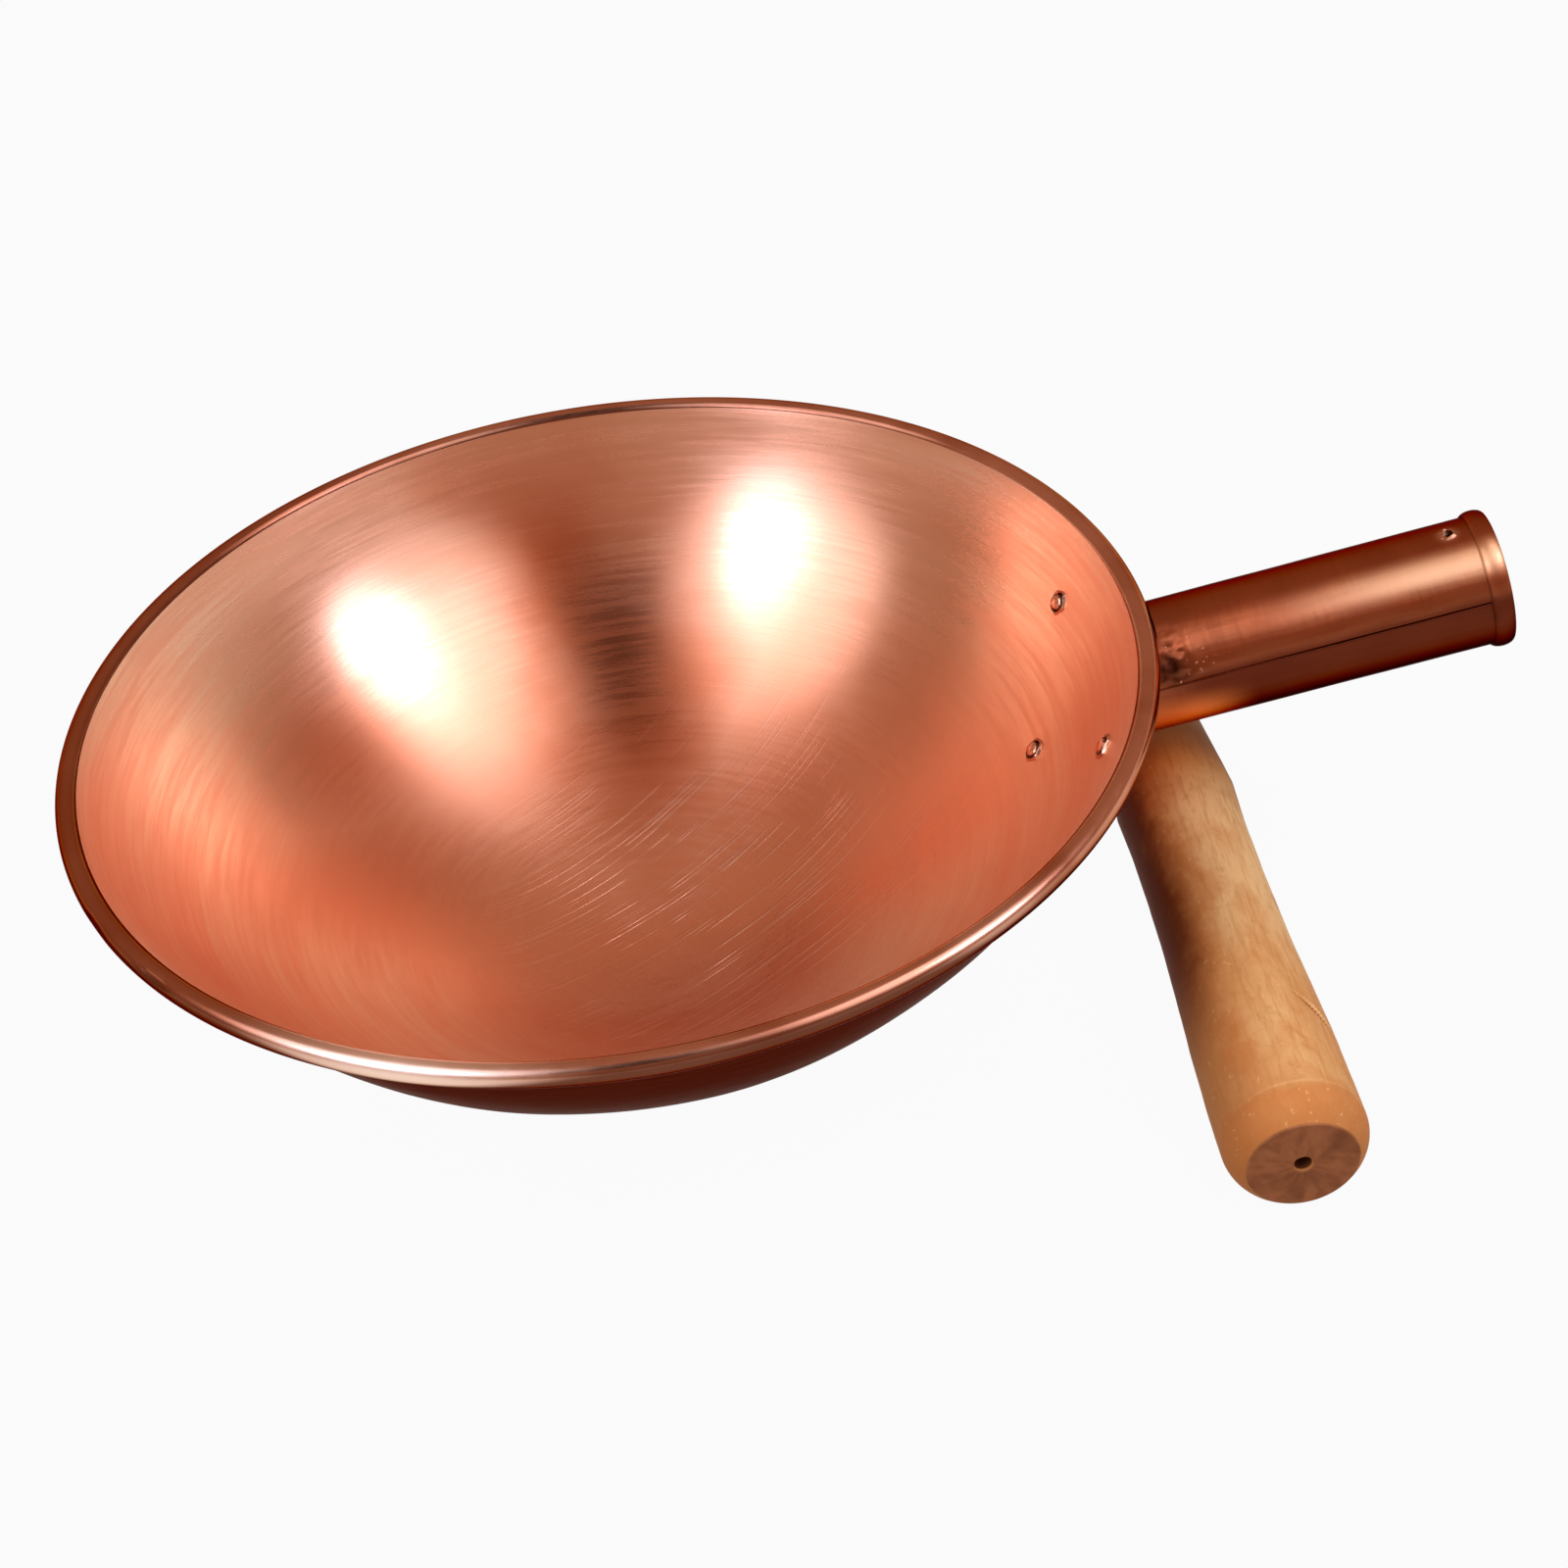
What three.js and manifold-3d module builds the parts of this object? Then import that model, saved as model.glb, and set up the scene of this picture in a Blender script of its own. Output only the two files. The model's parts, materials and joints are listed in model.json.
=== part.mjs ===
// Copper wok with a riveted socket handle, and its turned wooden grip lying loose beside it
// Millimetres, +Z up, floor at z = 0, the socket points along +X, origin under the middle of the whole
import * as THREE from 'three';
import { mergeVertices } from 'three/addons/utils/BufferGeometryUtils.js';
import Module from 'manifold-3d';

const wasm = await Module();
wasm.setup();

// Bowl
const RIM_DIAMETER = 340; // over the rolled rim
const BOWL_HEIGHT = 115; // bottom outside to the top of the rolled rim
const WALL_SLOPE = 66; // degrees from level, where the wall runs into the rim
const BOWL_SHEET = 1.5;
const RIM_ROLL = 7; // across the rolled rim
const RIM_TUCK = 276; // degrees that the sheet turns round the wire

// Handle socket
const SOCKET_DIAMETER = 40.3;
const SOCKET_SHEET = 1.5;
const SOCKET_REACH = 112; // along the socket, from above the rim's centre line to the mouth
const SOCKET_RISE = 10.1; // degrees above the plane of the rim
const SOCKET_DROP = 19; // socket's axis below the plane of the rim, at the rim's centre line
const SOCKET_ROOT = 60; // length kept inside the rim before the root is cut to the wall
const HEM_WIDTH = 6.4; // rolled hem at the mouth, along the socket
const HEM_PROUD = 1.4; // rolled hem above the socket's outside
const HEM_TURN = 255; // degrees that the hem's outside turns
const NAIL_HOLE = 3.2;
const NAIL_FROM_MOUTH = 13;
const SEAM_ANGLE = -75; // degrees from the top of the socket, towards the near side
const SEAM_GROOVE = 0.5; // width and depth of the seam line

// Tongues of the socket's root and their rivets
const TONGUE_BEND = 4; // inside radius where a tongue turns off the socket
const TONGUE_WIDTH = 19;
const SIDE_RIVET_DROP = 1.7; // side rivets below the socket's axis
const SIDE_RIVET_OUT = 18.9; // side rivets sideways from the socket's outside
const LOWER_RIVET_DROP = 11.2; // lower rivet below the socket's underside
const RIVET_SHIFT = 3.6; // the hand-set rivets lie this far to the far side of the socket
const RIVET_SHANK = 4;
const RIVET_HEAD = 7.6; // formed head, outside
const RIVET_HEAD_HEIGHT = 2.2;
const RIVET_END = 6; // hammered end, inside
const RIVET_END_HEIGHT = 1.5;

// Wooden handle
const GRIP_LENGTH = 162; // butt to shoulder
const GRIP_DIAMETER = 42.7; // at its swelling near the butt
const WAIST_DIAMETER = 38.2;
const WAIST_FROM_BUTT = 120;
const BUTT_DIAMETER = 31.7; // flat end
const BUTT_ROUND = 11; // length of the rounded end
const BUTT_EDGE = 35; // degrees between the flat end and the rounding, at their edge
const BUTT_HOLE = 5;
const BUTT_HOLE_DEPTH = 40;
const BUTT_HOLE_BEVEL = 0.8;
const PLUG_LENGTH = 60; // beyond the shoulder
const PLUG_TAPER = 4.4; // degrees on each side
const PLUG_BEVEL = 2;

// How the two lie on the floor
const WOK_LEAN = 3.1; // degrees towards the handle
const CROSSING_OUT = 8.4; // grip's axis passes this far outside the rim's centre line
const CROSSING_FROM_BUTT = 155.6; // along the grip, where it passes under the socket
const CROSSING_ANGLE = 91.75; // degrees between the socket and the grip

// Clearance between pieces that touch
const FIT_GAP = 0.3;

// Facets
const BOWL_SEGMENTS = 72;
const TUBE_SEGMENTS = 40;
const WIRE_SIDES = 8;
const RIVET_SEGMENTS = 12;
const HAMMER_FACETS = 7;
const WALL_STEPS = 12;
const ROLL_STEPS = 9;
const CURVE_STEPS = 5;
const TONGUE_STEPS = 18;
const BEND_STEPS = 4;

const rad = THREE.MathUtils.degToRad;

// Sizes that follow from those above
const rollRadius = RIM_ROLL / 2;
const wireSpace = rollRadius - BOWL_SHEET;
const rimRadius = RIM_DIAMETER / 2 - rollRadius;
const bowlDepth = BOWL_HEIGHT - rollRadius;
const slope = rad(WALL_SLOPE);
const bowlRadius =
  (rimRadius * Math.sin(slope) - bowlDepth * Math.cos(slope) - wireSpace) / (1 - Math.cos(slope));
const bowlCentre = bowlRadius - bowlDepth;
const socketRadius = SOCKET_DIAMETER / 2;
const boreRadius = socketRadius - SOCKET_SHEET;
const tongueHalf = TONGUE_WIDTH / 2;
const gripRadius = GRIP_DIAMETER / 2;
const waistRadius = WAIST_DIAMETER / 2;
const shoulderRadius = socketRadius;

// The socket's axis in the wok: where it passes the rim, its direction, its upper side and its far side
const socketStart = new THREE.Vector3(rimRadius, 0, -SOCKET_DROP);
const socketAlong = new THREE.Vector3(Math.cos(rad(SOCKET_RISE)), 0, Math.sin(rad(SOCKET_RISE)));
const socketUp = new THREE.Vector3(-Math.sin(rad(SOCKET_RISE)), 0, Math.cos(rad(SOCKET_RISE)));
const socketFar = new THREE.Vector3(0, 1, 0);
const sphereCentre = new THREE.Vector3(0, 0, bowlCentre);

// Closed mesh to solid, and back
function toSolid(geometry) {
  const bare = geometry.clone();
  bare.deleteAttribute('normal');
  bare.deleteAttribute('uv');
  const merged = mergeVertices(bare);
  const corners = merged.index.array;
  const kept = [];
  for (let i = 0; i < corners.length; i += 3) {
    const [a, b, c] = corners.slice(i, i + 3);
    if (a !== b && b !== c && c !== a) kept.push(a, b, c);
  }
  return new wasm.Manifold(
    new wasm.Mesh({
      numProp: 3,
      vertProperties: Float32Array.from(merged.attributes.position.array),
      triVerts: Uint32Array.from(kept),
    }),
  );
}

function toGeometry(solid) {
  const { vertProperties, triVerts } = solid.getMesh();
  const geometry = new THREE.BufferGeometry();
  geometry.setAttribute('position', new THREE.BufferAttribute(Float32Array.from(vertProperties), 3));
  geometry.setIndex(Array.from(triVerts));
  geometry.computeVertexNormals();
  return geometry;
}

// Points of an arc about a centre, from one angle to another
function arc(x, y, radius, from, to, steps) {
  return new THREE.EllipseCurve(x, y, radius, radius, from, to, to < from).getPoints(steps);
}

// Outline of radius and height, turned about +Z
function turned(points, segments) {
  return new THREE.LatheGeometry(points, segments).rotateX(Math.PI / 2);
}

// Turned piece laid along a direction from a point
function alongAxis(geometry, point, direction) {
  const turn = new THREE.Quaternion().setFromUnitVectors(new THREE.Vector3(0, 0, 1), direction);
  return geometry.applyQuaternion(turn).translate(point.x, point.y, point.z);
}

function rod(radius, length, segments) {
  return new THREE.CylinderGeometry(radius, radius, length, segments).rotateX(Math.PI / 2);
}

// Solid through matching closed sections, each given in space and as a flat outline for its end cap
function loft(sections) {
  const count = sections[0].space.length;
  const positions = sections.flatMap((section) => section.space.flatMap((point) => point.toArray()));
  const index = [];
  for (let row = 0; row + 1 < sections.length; row += 1) {
    for (let i = 0; i < count; i += 1) {
      const a = row * count + i;
      const b = row * count + ((i + 1) % count);
      index.push(a, a + count, b, b, a + count, b + count);
    }
  }
  const last = (sections.length - 1) * count;
  for (const [a, b, c] of THREE.ShapeUtils.triangulateShape(sections[0].flat, [])) {
    index.push(a, b, c);
  }
  for (const [a, b, c] of THREE.ShapeUtils.triangulateShape(sections.at(-1).flat, [])) {
    index.push(last + a, last + c, last + b);
  }
  const geometry = new THREE.BufferGeometry();
  geometry.setAttribute('position', new THREE.Float32BufferAttribute(positions, 3));
  geometry.setIndex(index);
  return geometry;
}

// Bowl: round bottom, straight upper wall, rim rolled out and down round its wire
function bowlShell() {
  const wallTop = slope - Math.PI / 2;
  const rollStart = Math.PI / 2 + slope;
  const rollEnd = rollStart - rad(RIM_TUCK);
  const outline = [
    ...arc(0, bowlCentre, bowlRadius, -Math.PI / 2, wallTop, WALL_STEPS),
    ...arc(rimRadius, 0, wireSpace, rollStart, rollEnd, ROLL_STEPS),
    ...arc(rimRadius, 0, rollRadius, rollEnd, rollStart, ROLL_STEPS),
    ...arc(0, bowlCentre, bowlRadius - BOWL_SHEET, wallTop, -Math.PI / 2, WALL_STEPS),
  ];
  return toSolid(turned(outline, BOWL_SEGMENTS));
}

// Everything that the socket stays clear of: the bowl filled and heaped, and its rolled rim, a gap larger
function bowlClearance() {
  const wallTop = slope - Math.PI / 2;
  const rim = rollRadius + FIT_GAP;
  const underRim = Math.PI / 2 + slope + Math.acos((wireSpace - FIT_GAP) / rim);
  const outline = [
    ...arc(0, bowlCentre, bowlRadius + FIT_GAP, -Math.PI / 2, wallTop, WALL_STEPS).slice(0, -1),
    ...arc(rimRadius, 0, rim, underRim - 2 * Math.PI, Math.PI / 2, ROLL_STEPS),
    new THREE.Vector2(rimRadius, SOCKET_DIAMETER),
    new THREE.Vector2(0, SOCKET_DIAMETER),
  ];
  return toSolid(turned(outline, BOWL_SEGMENTS));
}

function rimWire() {
  const section = arc(rimRadius, 0, wireSpace - FIT_GAP, 0, 2 * Math.PI, WIRE_SIDES);
  return turned(section, BOWL_SEGMENTS);
}

// Rivets: a place on the outside of the bowl, and the way out of the wall there
function rivetSeat(drop, sideways) {
  const height = -drop - bowlCentre;
  const around = Math.sqrt(bowlRadius ** 2 - height ** 2 - sideways ** 2);
  const out = new THREE.Vector3(around, sideways, height).normalize();
  return { point: sphereCentre.clone().addScaledVector(out, bowlRadius), out };
}

const sideDrop = SOCKET_DROP + SIDE_RIVET_DROP;
const sideSpread = socketRadius + SIDE_RIVET_OUT;
const rivetSeats = {
  rivet_far: rivetSeat(sideDrop, RIVET_SHIFT + sideSpread),
  rivet_near: rivetSeat(sideDrop, RIVET_SHIFT - sideSpread),
  rivet_lower: rivetSeat(SOCKET_DROP + socketRadius + LOWER_RIVET_DROP, RIVET_SHIFT),
};

function rivet(seat) {
  const shank = RIVET_SHANK / 2;
  const headSeat = SOCKET_SHEET + 2 * FIT_GAP;
  const endSeat = -BOWL_SHEET - 2 * FIT_GAP;
  const head = RIVET_HEAD / 2;
  const end = RIVET_END / 2;
  const formed = new THREE.Path();
  formed.moveTo(0, endSeat - FIT_GAP);
  formed.lineTo(shank, endSeat - FIT_GAP);
  formed.lineTo(shank, headSeat);
  formed.lineTo(head, headSeat);
  formed.absellipse(0, headSeat, head, RIVET_HEAD_HEIGHT, 0, Math.PI / 2);
  const hammered = new THREE.Path();
  hammered.moveTo(0, endSeat - RIVET_END_HEIGHT);
  hammered.quadraticCurveTo(end, endSeat - RIVET_END_HEIGHT, end, endSeat);
  hammered.lineTo(0, endSeat);
  const body = toSolid(turned(formed.getPoints(BEND_STEPS), RIVET_SEGMENTS));
  const blunt = toSolid(turned(hammered.getPoints(BEND_STEPS), HAMMER_FACETS));
  return alongAxis(toGeometry(body.add(blunt)), seat.point, seat.out);
}

function rivetHole(seat) {
  const through = 2 * (BOWL_SHEET + SOCKET_SHEET + RIVET_HEAD_HEIGHT);
  const hole = rod(RIVET_SHANK / 2 + FIT_GAP, through, RIVET_SEGMENTS);
  return toSolid(alongAxis(hole, seat.point, seat.out));
}

// Socket: rolled tube with its edge rolled back outside as a hem at the mouth
function socketTube() {
  const crest = socketRadius + HEM_PROUD;
  const hemThick = (crest - boreRadius) / 2;
  const hemCentre = SOCKET_REACH - HEM_WIDTH / 2;
  const hemEdge = Math.PI - rad(HEM_TURN);
  const hemFoot = hemCentre + (HEM_WIDTH / 2) * Math.sin(hemEdge);
  const outline = new THREE.Path();
  outline.moveTo(socketRadius, -SOCKET_ROOT);
  outline.lineTo(socketRadius, hemCentre);
  outline.lineTo(socketRadius + FIT_GAP, hemCentre);
  outline.lineTo(socketRadius + FIT_GAP, hemFoot);
  outline.absellipse(boreRadius + hemThick, hemCentre, hemThick, HEM_WIDTH / 2, hemEdge, Math.PI);
  outline.lineTo(boreRadius, -SOCKET_ROOT);
  outline.lineTo(socketRadius, -SOCKET_ROOT);
  const tube = turned(outline.getPoints(CURVE_STEPS), TUBE_SEGMENTS);
  const placed = toSolid(alongAxis(tube, socketStart, socketAlong));
  return placed.subtract(seamGroove(hemFoot)).subtract(nailHole());
}

function aroundSocket(angle) {
  return socketUp.clone().multiplyScalar(Math.cos(angle)).addScaledVector(socketFar, Math.sin(angle));
}

function seamGroove(end) {
  const length = end - HEM_PROUD + SOCKET_ROOT;
  const groove = new THREE.BoxGeometry(2 * SEAM_GROOVE, SEAM_GROOVE, length);
  const out = aroundSocket(rad(SEAM_ANGLE));
  const across = new THREE.Vector3().crossVectors(socketAlong, out);
  const middle = socketStart.clone().addScaledVector(socketAlong, length / 2 - SOCKET_ROOT);
  groove.applyMatrix4(new THREE.Matrix4().makeBasis(out, across, socketAlong));
  const place = middle.addScaledVector(out, socketRadius);
  return toSolid(groove.translate(place.x, place.y, place.z));
}

function nailHole() {
  const place = socketStart.clone().addScaledVector(socketAlong, SOCKET_REACH - NAIL_FROM_MOUTH);
  place.addScaledVector(socketUp, socketRadius);
  return toSolid(alongAxis(rod(NAIL_HOLE / 2, 4 * SOCKET_SHEET, RIVET_SEGMENTS), place, socketUp));
}

// Tongue: turns off the socket in a bend and lies on the bowl, round-ended about its rivet
function tongue(seat) {
  const fromStart = seat.point.clone().sub(socketStart);
  const middle = Math.atan2(fromStart.dot(socketFar), fromStart.dot(socketUp));
  const reach = Math.hypot(fromStart.dot(socketFar), fromStart.dot(socketUp));
  const rootAt = Math.sqrt(socketRadius ** 2 - tongueHalf ** 2);
  const edge = new THREE.Path();
  edge.moveTo(rootAt, -tongueHalf);
  edge.lineTo(reach, -tongueHalf);
  edge.absarc(reach, 0, tongueHalf, -Math.PI / 2, Math.PI / 2);
  edge.lineTo(rootAt, tongueHalf);
  const sections = edge.getSpacedPoints(TONGUE_STEPS).map((point) => {
    return tongueSection(middle + Math.atan2(point.y, point.x), point.length());
  });
  return toSolid(loft(sections));
}

// Section of a tongue in the half plane through the socket's axis at an angle, out to a radius
function tongueSection(angle, radius) {
  const out = aroundSocket(angle);
  const toCentre = sphereCentre.clone().sub(socketStart);
  const along = toCentre.dot(socketAlong);
  const aside = toCentre.dot(out);
  const offPlane = toCentre.lengthSq() - along ** 2 - aside ** 2;
  const outer = Math.sqrt((bowlRadius + FIT_GAP + SOCKET_SHEET) ** 2 - offPlane);
  const inner = Math.sqrt(bowlRadius ** 2 - offPlane);
  const bendOut = socketRadius + TONGUE_BEND;
  const bendAlong = along + Math.sqrt((outer + TONGUE_BEND) ** 2 - (bendOut - aside) ** 2);
  const wallFrom = Math.atan2(bendOut - aside, bendAlong - along);
  const bendTurn = Math.PI / 2 - wallFrom;
  const reached = Math.acos(THREE.MathUtils.clamp((bendOut - radius) / TONGUE_BEND, -1, 1));
  const turn = Math.min(bendTurn, reached);
  const wallTo = Math.max(wallFrom, Math.asin((radius - aside) / outer));
  const embedded = socketRadius - SOCKET_SHEET / 2;
  const backFrom = Math.asin((radius - aside) / inner);
  const backTo = Math.asin((embedded - aside) / inner);
  const flat = [new THREE.Vector2(bendAlong, embedded)];
  for (let i = 0; i <= BEND_STEPS; i += 1) {
    const at = (turn * i) / BEND_STEPS;
    const onBend = new THREE.Vector2(Math.sin(at), Math.cos(at)).multiplyScalar(-TONGUE_BEND);
    flat.push(onBend.add(new THREE.Vector2(bendAlong, bendOut)));
  }
  for (let i = 1; i <= BEND_STEPS; i += 1) {
    const at = THREE.MathUtils.lerp(wallFrom, wallTo, i / BEND_STEPS);
    const last = flat.at(-1);
    const onWall = new THREE.Vector2(along + outer * Math.cos(at), aside + outer * Math.sin(at));
    flat.push(turn < bendTurn ? last.clone() : onWall);
  }
  for (let i = 0; i <= BEND_STEPS; i += 1) {
    const at = THREE.MathUtils.lerp(backFrom, backTo, i / BEND_STEPS);
    flat.push(new THREE.Vector2(along + inner * Math.cos(at), aside + inner * Math.sin(at)));
  }
  const space = flat.map((point) => {
    return socketStart.clone().addScaledVector(socketAlong, point.x).addScaledVector(out, point.y);
  });
  return { flat, space };
}

function handleSocket() {
  const seats = Object.values(rivetSeats);
  const joined = seats.reduce((solid, seat) => solid.add(tongue(seat)), socketTube());
  const fitted = joined.subtract(bowlClearance());
  return seats.reduce((solid, seat) => solid.subtract(rivetHole(seat)), fitted);
}

function bowl() {
  return Object.values(rivetSeats).reduce((solid, seat) => solid.subtract(rivetHole(seat)), bowlShell());
}

// Wooden handle: turned about its length from the butt, flush with the socket at its shoulder
function woodenHandle() {
  const hole = BUTT_HOLE / 2;
  const butt = BUTT_DIAMETER / 2;
  const length = GRIP_LENGTH + PLUG_LENGTH;
  const plugEnd = shoulderRadius - PLUG_LENGTH * Math.tan(rad(PLUG_TAPER));
  const edge = rad(90 - BUTT_EDGE);
  const roundWidth = (gripRadius - butt) / (1 - Math.cos(edge));
  const roundLength = BUTT_ROUND / Math.sin(edge);
  const swellEnd = (BUTT_ROUND + WAIST_FROM_BUTT) / 2;
  const flareStart = (WAIST_FROM_BUTT + GRIP_LENGTH) / 2;
  const outline = new THREE.Path();
  outline.moveTo(0, BUTT_HOLE_DEPTH);
  outline.lineTo(hole, BUTT_HOLE_DEPTH - hole);
  outline.lineTo(hole, BUTT_HOLE_BEVEL);
  outline.lineTo(hole + BUTT_HOLE_BEVEL, 0);
  outline.lineTo(butt, 0);
  outline.absellipse(gripRadius - roundWidth, BUTT_ROUND, roundWidth, roundLength, -edge, 0);
  outline.bezierCurveTo(gripRadius, swellEnd, waistRadius, swellEnd, waistRadius, WAIST_FROM_BUTT);
  outline.bezierCurveTo(waistRadius, flareStart, waistRadius, flareStart, shoulderRadius, GRIP_LENGTH);
  outline.lineTo(plugEnd, length - PLUG_BEVEL);
  outline.lineTo(plugEnd - PLUG_BEVEL, length);
  outline.lineTo(0, length);
  return turned(outline.getPoints(CURVE_STEPS), TUBE_SEGMENTS);
}

// Finishes
const copper = { color: 0xd0784f, roughness: 0.38, metalness: 1 };
const darkCopper = { color: 0x8f4228, roughness: 0.32, metalness: 1 };
const steel = { color: 0x77706a, roughness: 0.5, metalness: 1 };
const wood = { color: 0xc98c52, roughness: 0.55, metalness: 0 };

function piece(name, geometry, finish) {
  const mesh = new THREE.Mesh(geometry, new THREE.MeshStandardMaterial(finish));
  mesh.name = name;
  return mesh;
}

// A group let down until its lowest point touches the floor
function standOnFloor(group) {
  group.updateMatrixWorld(true);
  group.position.z -= new THREE.Box3().setFromObject(group, true).min.z;
}

// The wok leans on its round bottom towards the socket
const wok = new THREE.Group();
wok.add(piece('bowl', toGeometry(bowl()), copper));
wok.add(piece('rim_wire', rimWire(), steel));
wok.add(piece('handle_socket', toGeometry(handleSocket()), darkCopper));
for (const [name, seat] of Object.entries(rivetSeats)) {
  wok.add(piece(name, rivet(seat), copper));
}
wok.rotation.y = rad(WOK_LEAN);
standOnFloor(wok);

// The wooden handle lies on its swelling and its shoulder, across and under the socket
const loose = new THREE.Group();
const dip = Math.asin((gripRadius - shoulderRadius) / (GRIP_LENGTH - BUTT_ROUND));
const heading = rad(CROSSING_ANGLE);
const crossing = rimRadius * Math.cos(rad(WOK_LEAN)) + CROSSING_OUT;
loose.add(piece('wooden_handle', woodenHandle(), wood));
loose.rotation.set(-Math.PI / 2 - dip, 0, heading - Math.PI / 2, 'ZXY');
loose.position.x = crossing - CROSSING_FROM_BUTT * Math.cos(heading);
loose.position.y = -CROSSING_FROM_BUTT * Math.sin(heading);
standOnFloor(loose);

const assembly = new THREE.Group();
assembly.add(wok, loose);
const middle = new THREE.Box3().setFromObject(assembly, true).getCenter(new THREE.Vector3());
assembly.position.set(-middle.x, -middle.y, 0);

export default assembly;
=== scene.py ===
import json
import math

import bmesh
import bpy
import numpy as np
from mathutils import Matrix, Vector, noise


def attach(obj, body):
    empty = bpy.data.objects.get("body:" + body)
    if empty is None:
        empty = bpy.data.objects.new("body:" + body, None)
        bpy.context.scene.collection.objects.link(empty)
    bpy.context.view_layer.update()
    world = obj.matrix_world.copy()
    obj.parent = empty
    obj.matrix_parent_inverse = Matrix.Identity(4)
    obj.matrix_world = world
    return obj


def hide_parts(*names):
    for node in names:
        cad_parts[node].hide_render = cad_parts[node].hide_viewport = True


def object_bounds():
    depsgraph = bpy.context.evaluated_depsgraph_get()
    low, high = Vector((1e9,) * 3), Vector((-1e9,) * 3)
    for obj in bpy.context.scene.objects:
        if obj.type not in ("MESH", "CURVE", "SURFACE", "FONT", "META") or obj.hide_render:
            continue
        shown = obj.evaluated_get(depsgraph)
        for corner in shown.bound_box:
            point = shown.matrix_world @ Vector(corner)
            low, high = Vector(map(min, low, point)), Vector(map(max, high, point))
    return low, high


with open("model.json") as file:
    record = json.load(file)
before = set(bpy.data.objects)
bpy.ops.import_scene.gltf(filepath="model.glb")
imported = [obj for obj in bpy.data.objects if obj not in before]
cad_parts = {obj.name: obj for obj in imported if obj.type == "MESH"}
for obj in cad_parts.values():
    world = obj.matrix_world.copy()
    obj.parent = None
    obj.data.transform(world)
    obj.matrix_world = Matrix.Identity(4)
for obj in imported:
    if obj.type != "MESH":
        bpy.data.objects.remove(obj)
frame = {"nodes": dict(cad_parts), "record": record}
cad_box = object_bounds()

# Shapes are written in millimetres and degrees, as the solids are
MM = 0.001

# Bowl, about the middle of its rolled rim
RIM_RADIUS = 166.5
ROLL_RADIUS = 3.5
BOWL_SHEET = 1.5
BOWL_DEPTH = 111.5
WALL_SLOPE = 66
RIM_TUCK = 276

# Hand-made unevenness of the bowl
SWELL_SIZE = 62
SWELL_HEIGHT = 0.5
RIPPLE_SIZE = 21
RIPPLE_HEIGHT = 0.07
RIM_FADE = 8
DIMPLE_DEPTH = 0.22
DIMPLE_REACH = 7
STANDING_POLAR = 14

# Nicks in the bead: place and half length round the bowl, place and half width round the bead, and depth
NICKS = (
    {"azimuth": -137.5, "half": 2.2, "round_bead": 49, "width": 16, "depth": 0.75},
    {"azimuth": -149, "half": 2, "round_bead": 14, "width": 20, "depth": 0.7},
    {"azimuth": -31.4, "half": 0.8, "round_bead": 69, "width": 12, "depth": 0.3},
)

# Handle socket, about the point where its axis passes the rim
SOCKET_RADIUS = 20.15
SOCKET_SHEET = 1.5
SOCKET_REACH = 112
SOCKET_RISE = 10.1
SOCKET_DROP = 19
HEM_WIDTH = 6.4
HEM_PROUD = 1.4
HEM_TURN = 255
HEM_SLOT = 0.02
SEAM_ANGLE = -75
SEAM_GROOVE = 0.5
NAIL_HOLE_RADIUS = 1.6
NAIL_FROM_MOUTH = 13
TONGUE_BEND = 4
TONGUE_HALF = 9.5
FIT_GAP = 0.3

# Unevenness of the socket: its seam, a crumpled root, a slack tube and a burr round the nail hole
SEAM_HALF = 0.35
SEAM_ROOT_FADE = 40
SEAM_STEP = 0.3
SEAM_STEP_FADE = 40
WRINKLE_HEIGHT = 0.9
WRINKLE_SIZE = 3.2
WRINKLE_SINK = 0.3
WRINKLE_ALONG = 9
WRINKLE_LENGTH = 6.5
WRINKLE_ANGLE = -50
WRINKLE_SPREAD = 22
SLACK_HEIGHT = 0.1
SLACK_SIZE = 24
BURR_HEIGHT = 0.8
BURR_FROM_HOLE = 0.5
BURR_HALF = 0.7
BURR_SIZE = 1.1
BURR_MEAN = 0.6
BURR_RANGE = 0.8

# Rivets, below the plane of the rim and sideways from the socket
RIVET_SHIFT = 3.6
SIDE_RIVET_DROP = 20.7
SIDE_RIVET_SPREAD = 39.05
LOWER_RIVET_DROP = 50.35
RIVET_SHANK_RADIUS = 2
RIVET_HEAD_RADIUS = 3.8
RIVET_HEAD_HEIGHT = 2.2
RIVET_HEAD_EDGE = 6

# Hammered end of a rivet, above the bowl's inside: a tilted nub with facets, in a moat with a raised lip
NUB_TOP = 1.45
NUB_RADIUS = 2.3
NUB_FLAT = 1.725
NUB_BEVEL = 0.29
NUB_TILT = 0.35
NUB_FACETS = 5
FACET_SHARE = 0.6
FACET_MEAN = 0.9
MOAT_RADIUS = 2.9
MOAT_DEPTH = 0.1
LIP_RADIUS = 3.6
LIP_ROUND = 0.3
LIP_HEIGHT = 0.7
LIP_INNER_HEIGHT = 0.56
LIP_OUTER_HEIGHT = 0.42
HAMMER_SIZE = 1.3
HAMMER_SPREAD = 0.12
HAMMER_HEIGHT = 0.22

# Wooden handle, from its butt
GRIP_LENGTH = 162
GRIP_RADIUS = 21.35
WAIST_RADIUS = 19.1
WAIST_FROM_BUTT = 120
BUTT_RADIUS = 15.85
BUTT_ROUND = 11
BUTT_EDGE = 35
BUTT_HOLE_RADIUS = 2.5
BUTT_HOLE_DEPTH = 40
BUTT_HOLE_BEVEL = 0.8
PLUG_LENGTH = 60
PLUG_TAPER = 4.4
PLUG_BEVEL = 2

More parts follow.
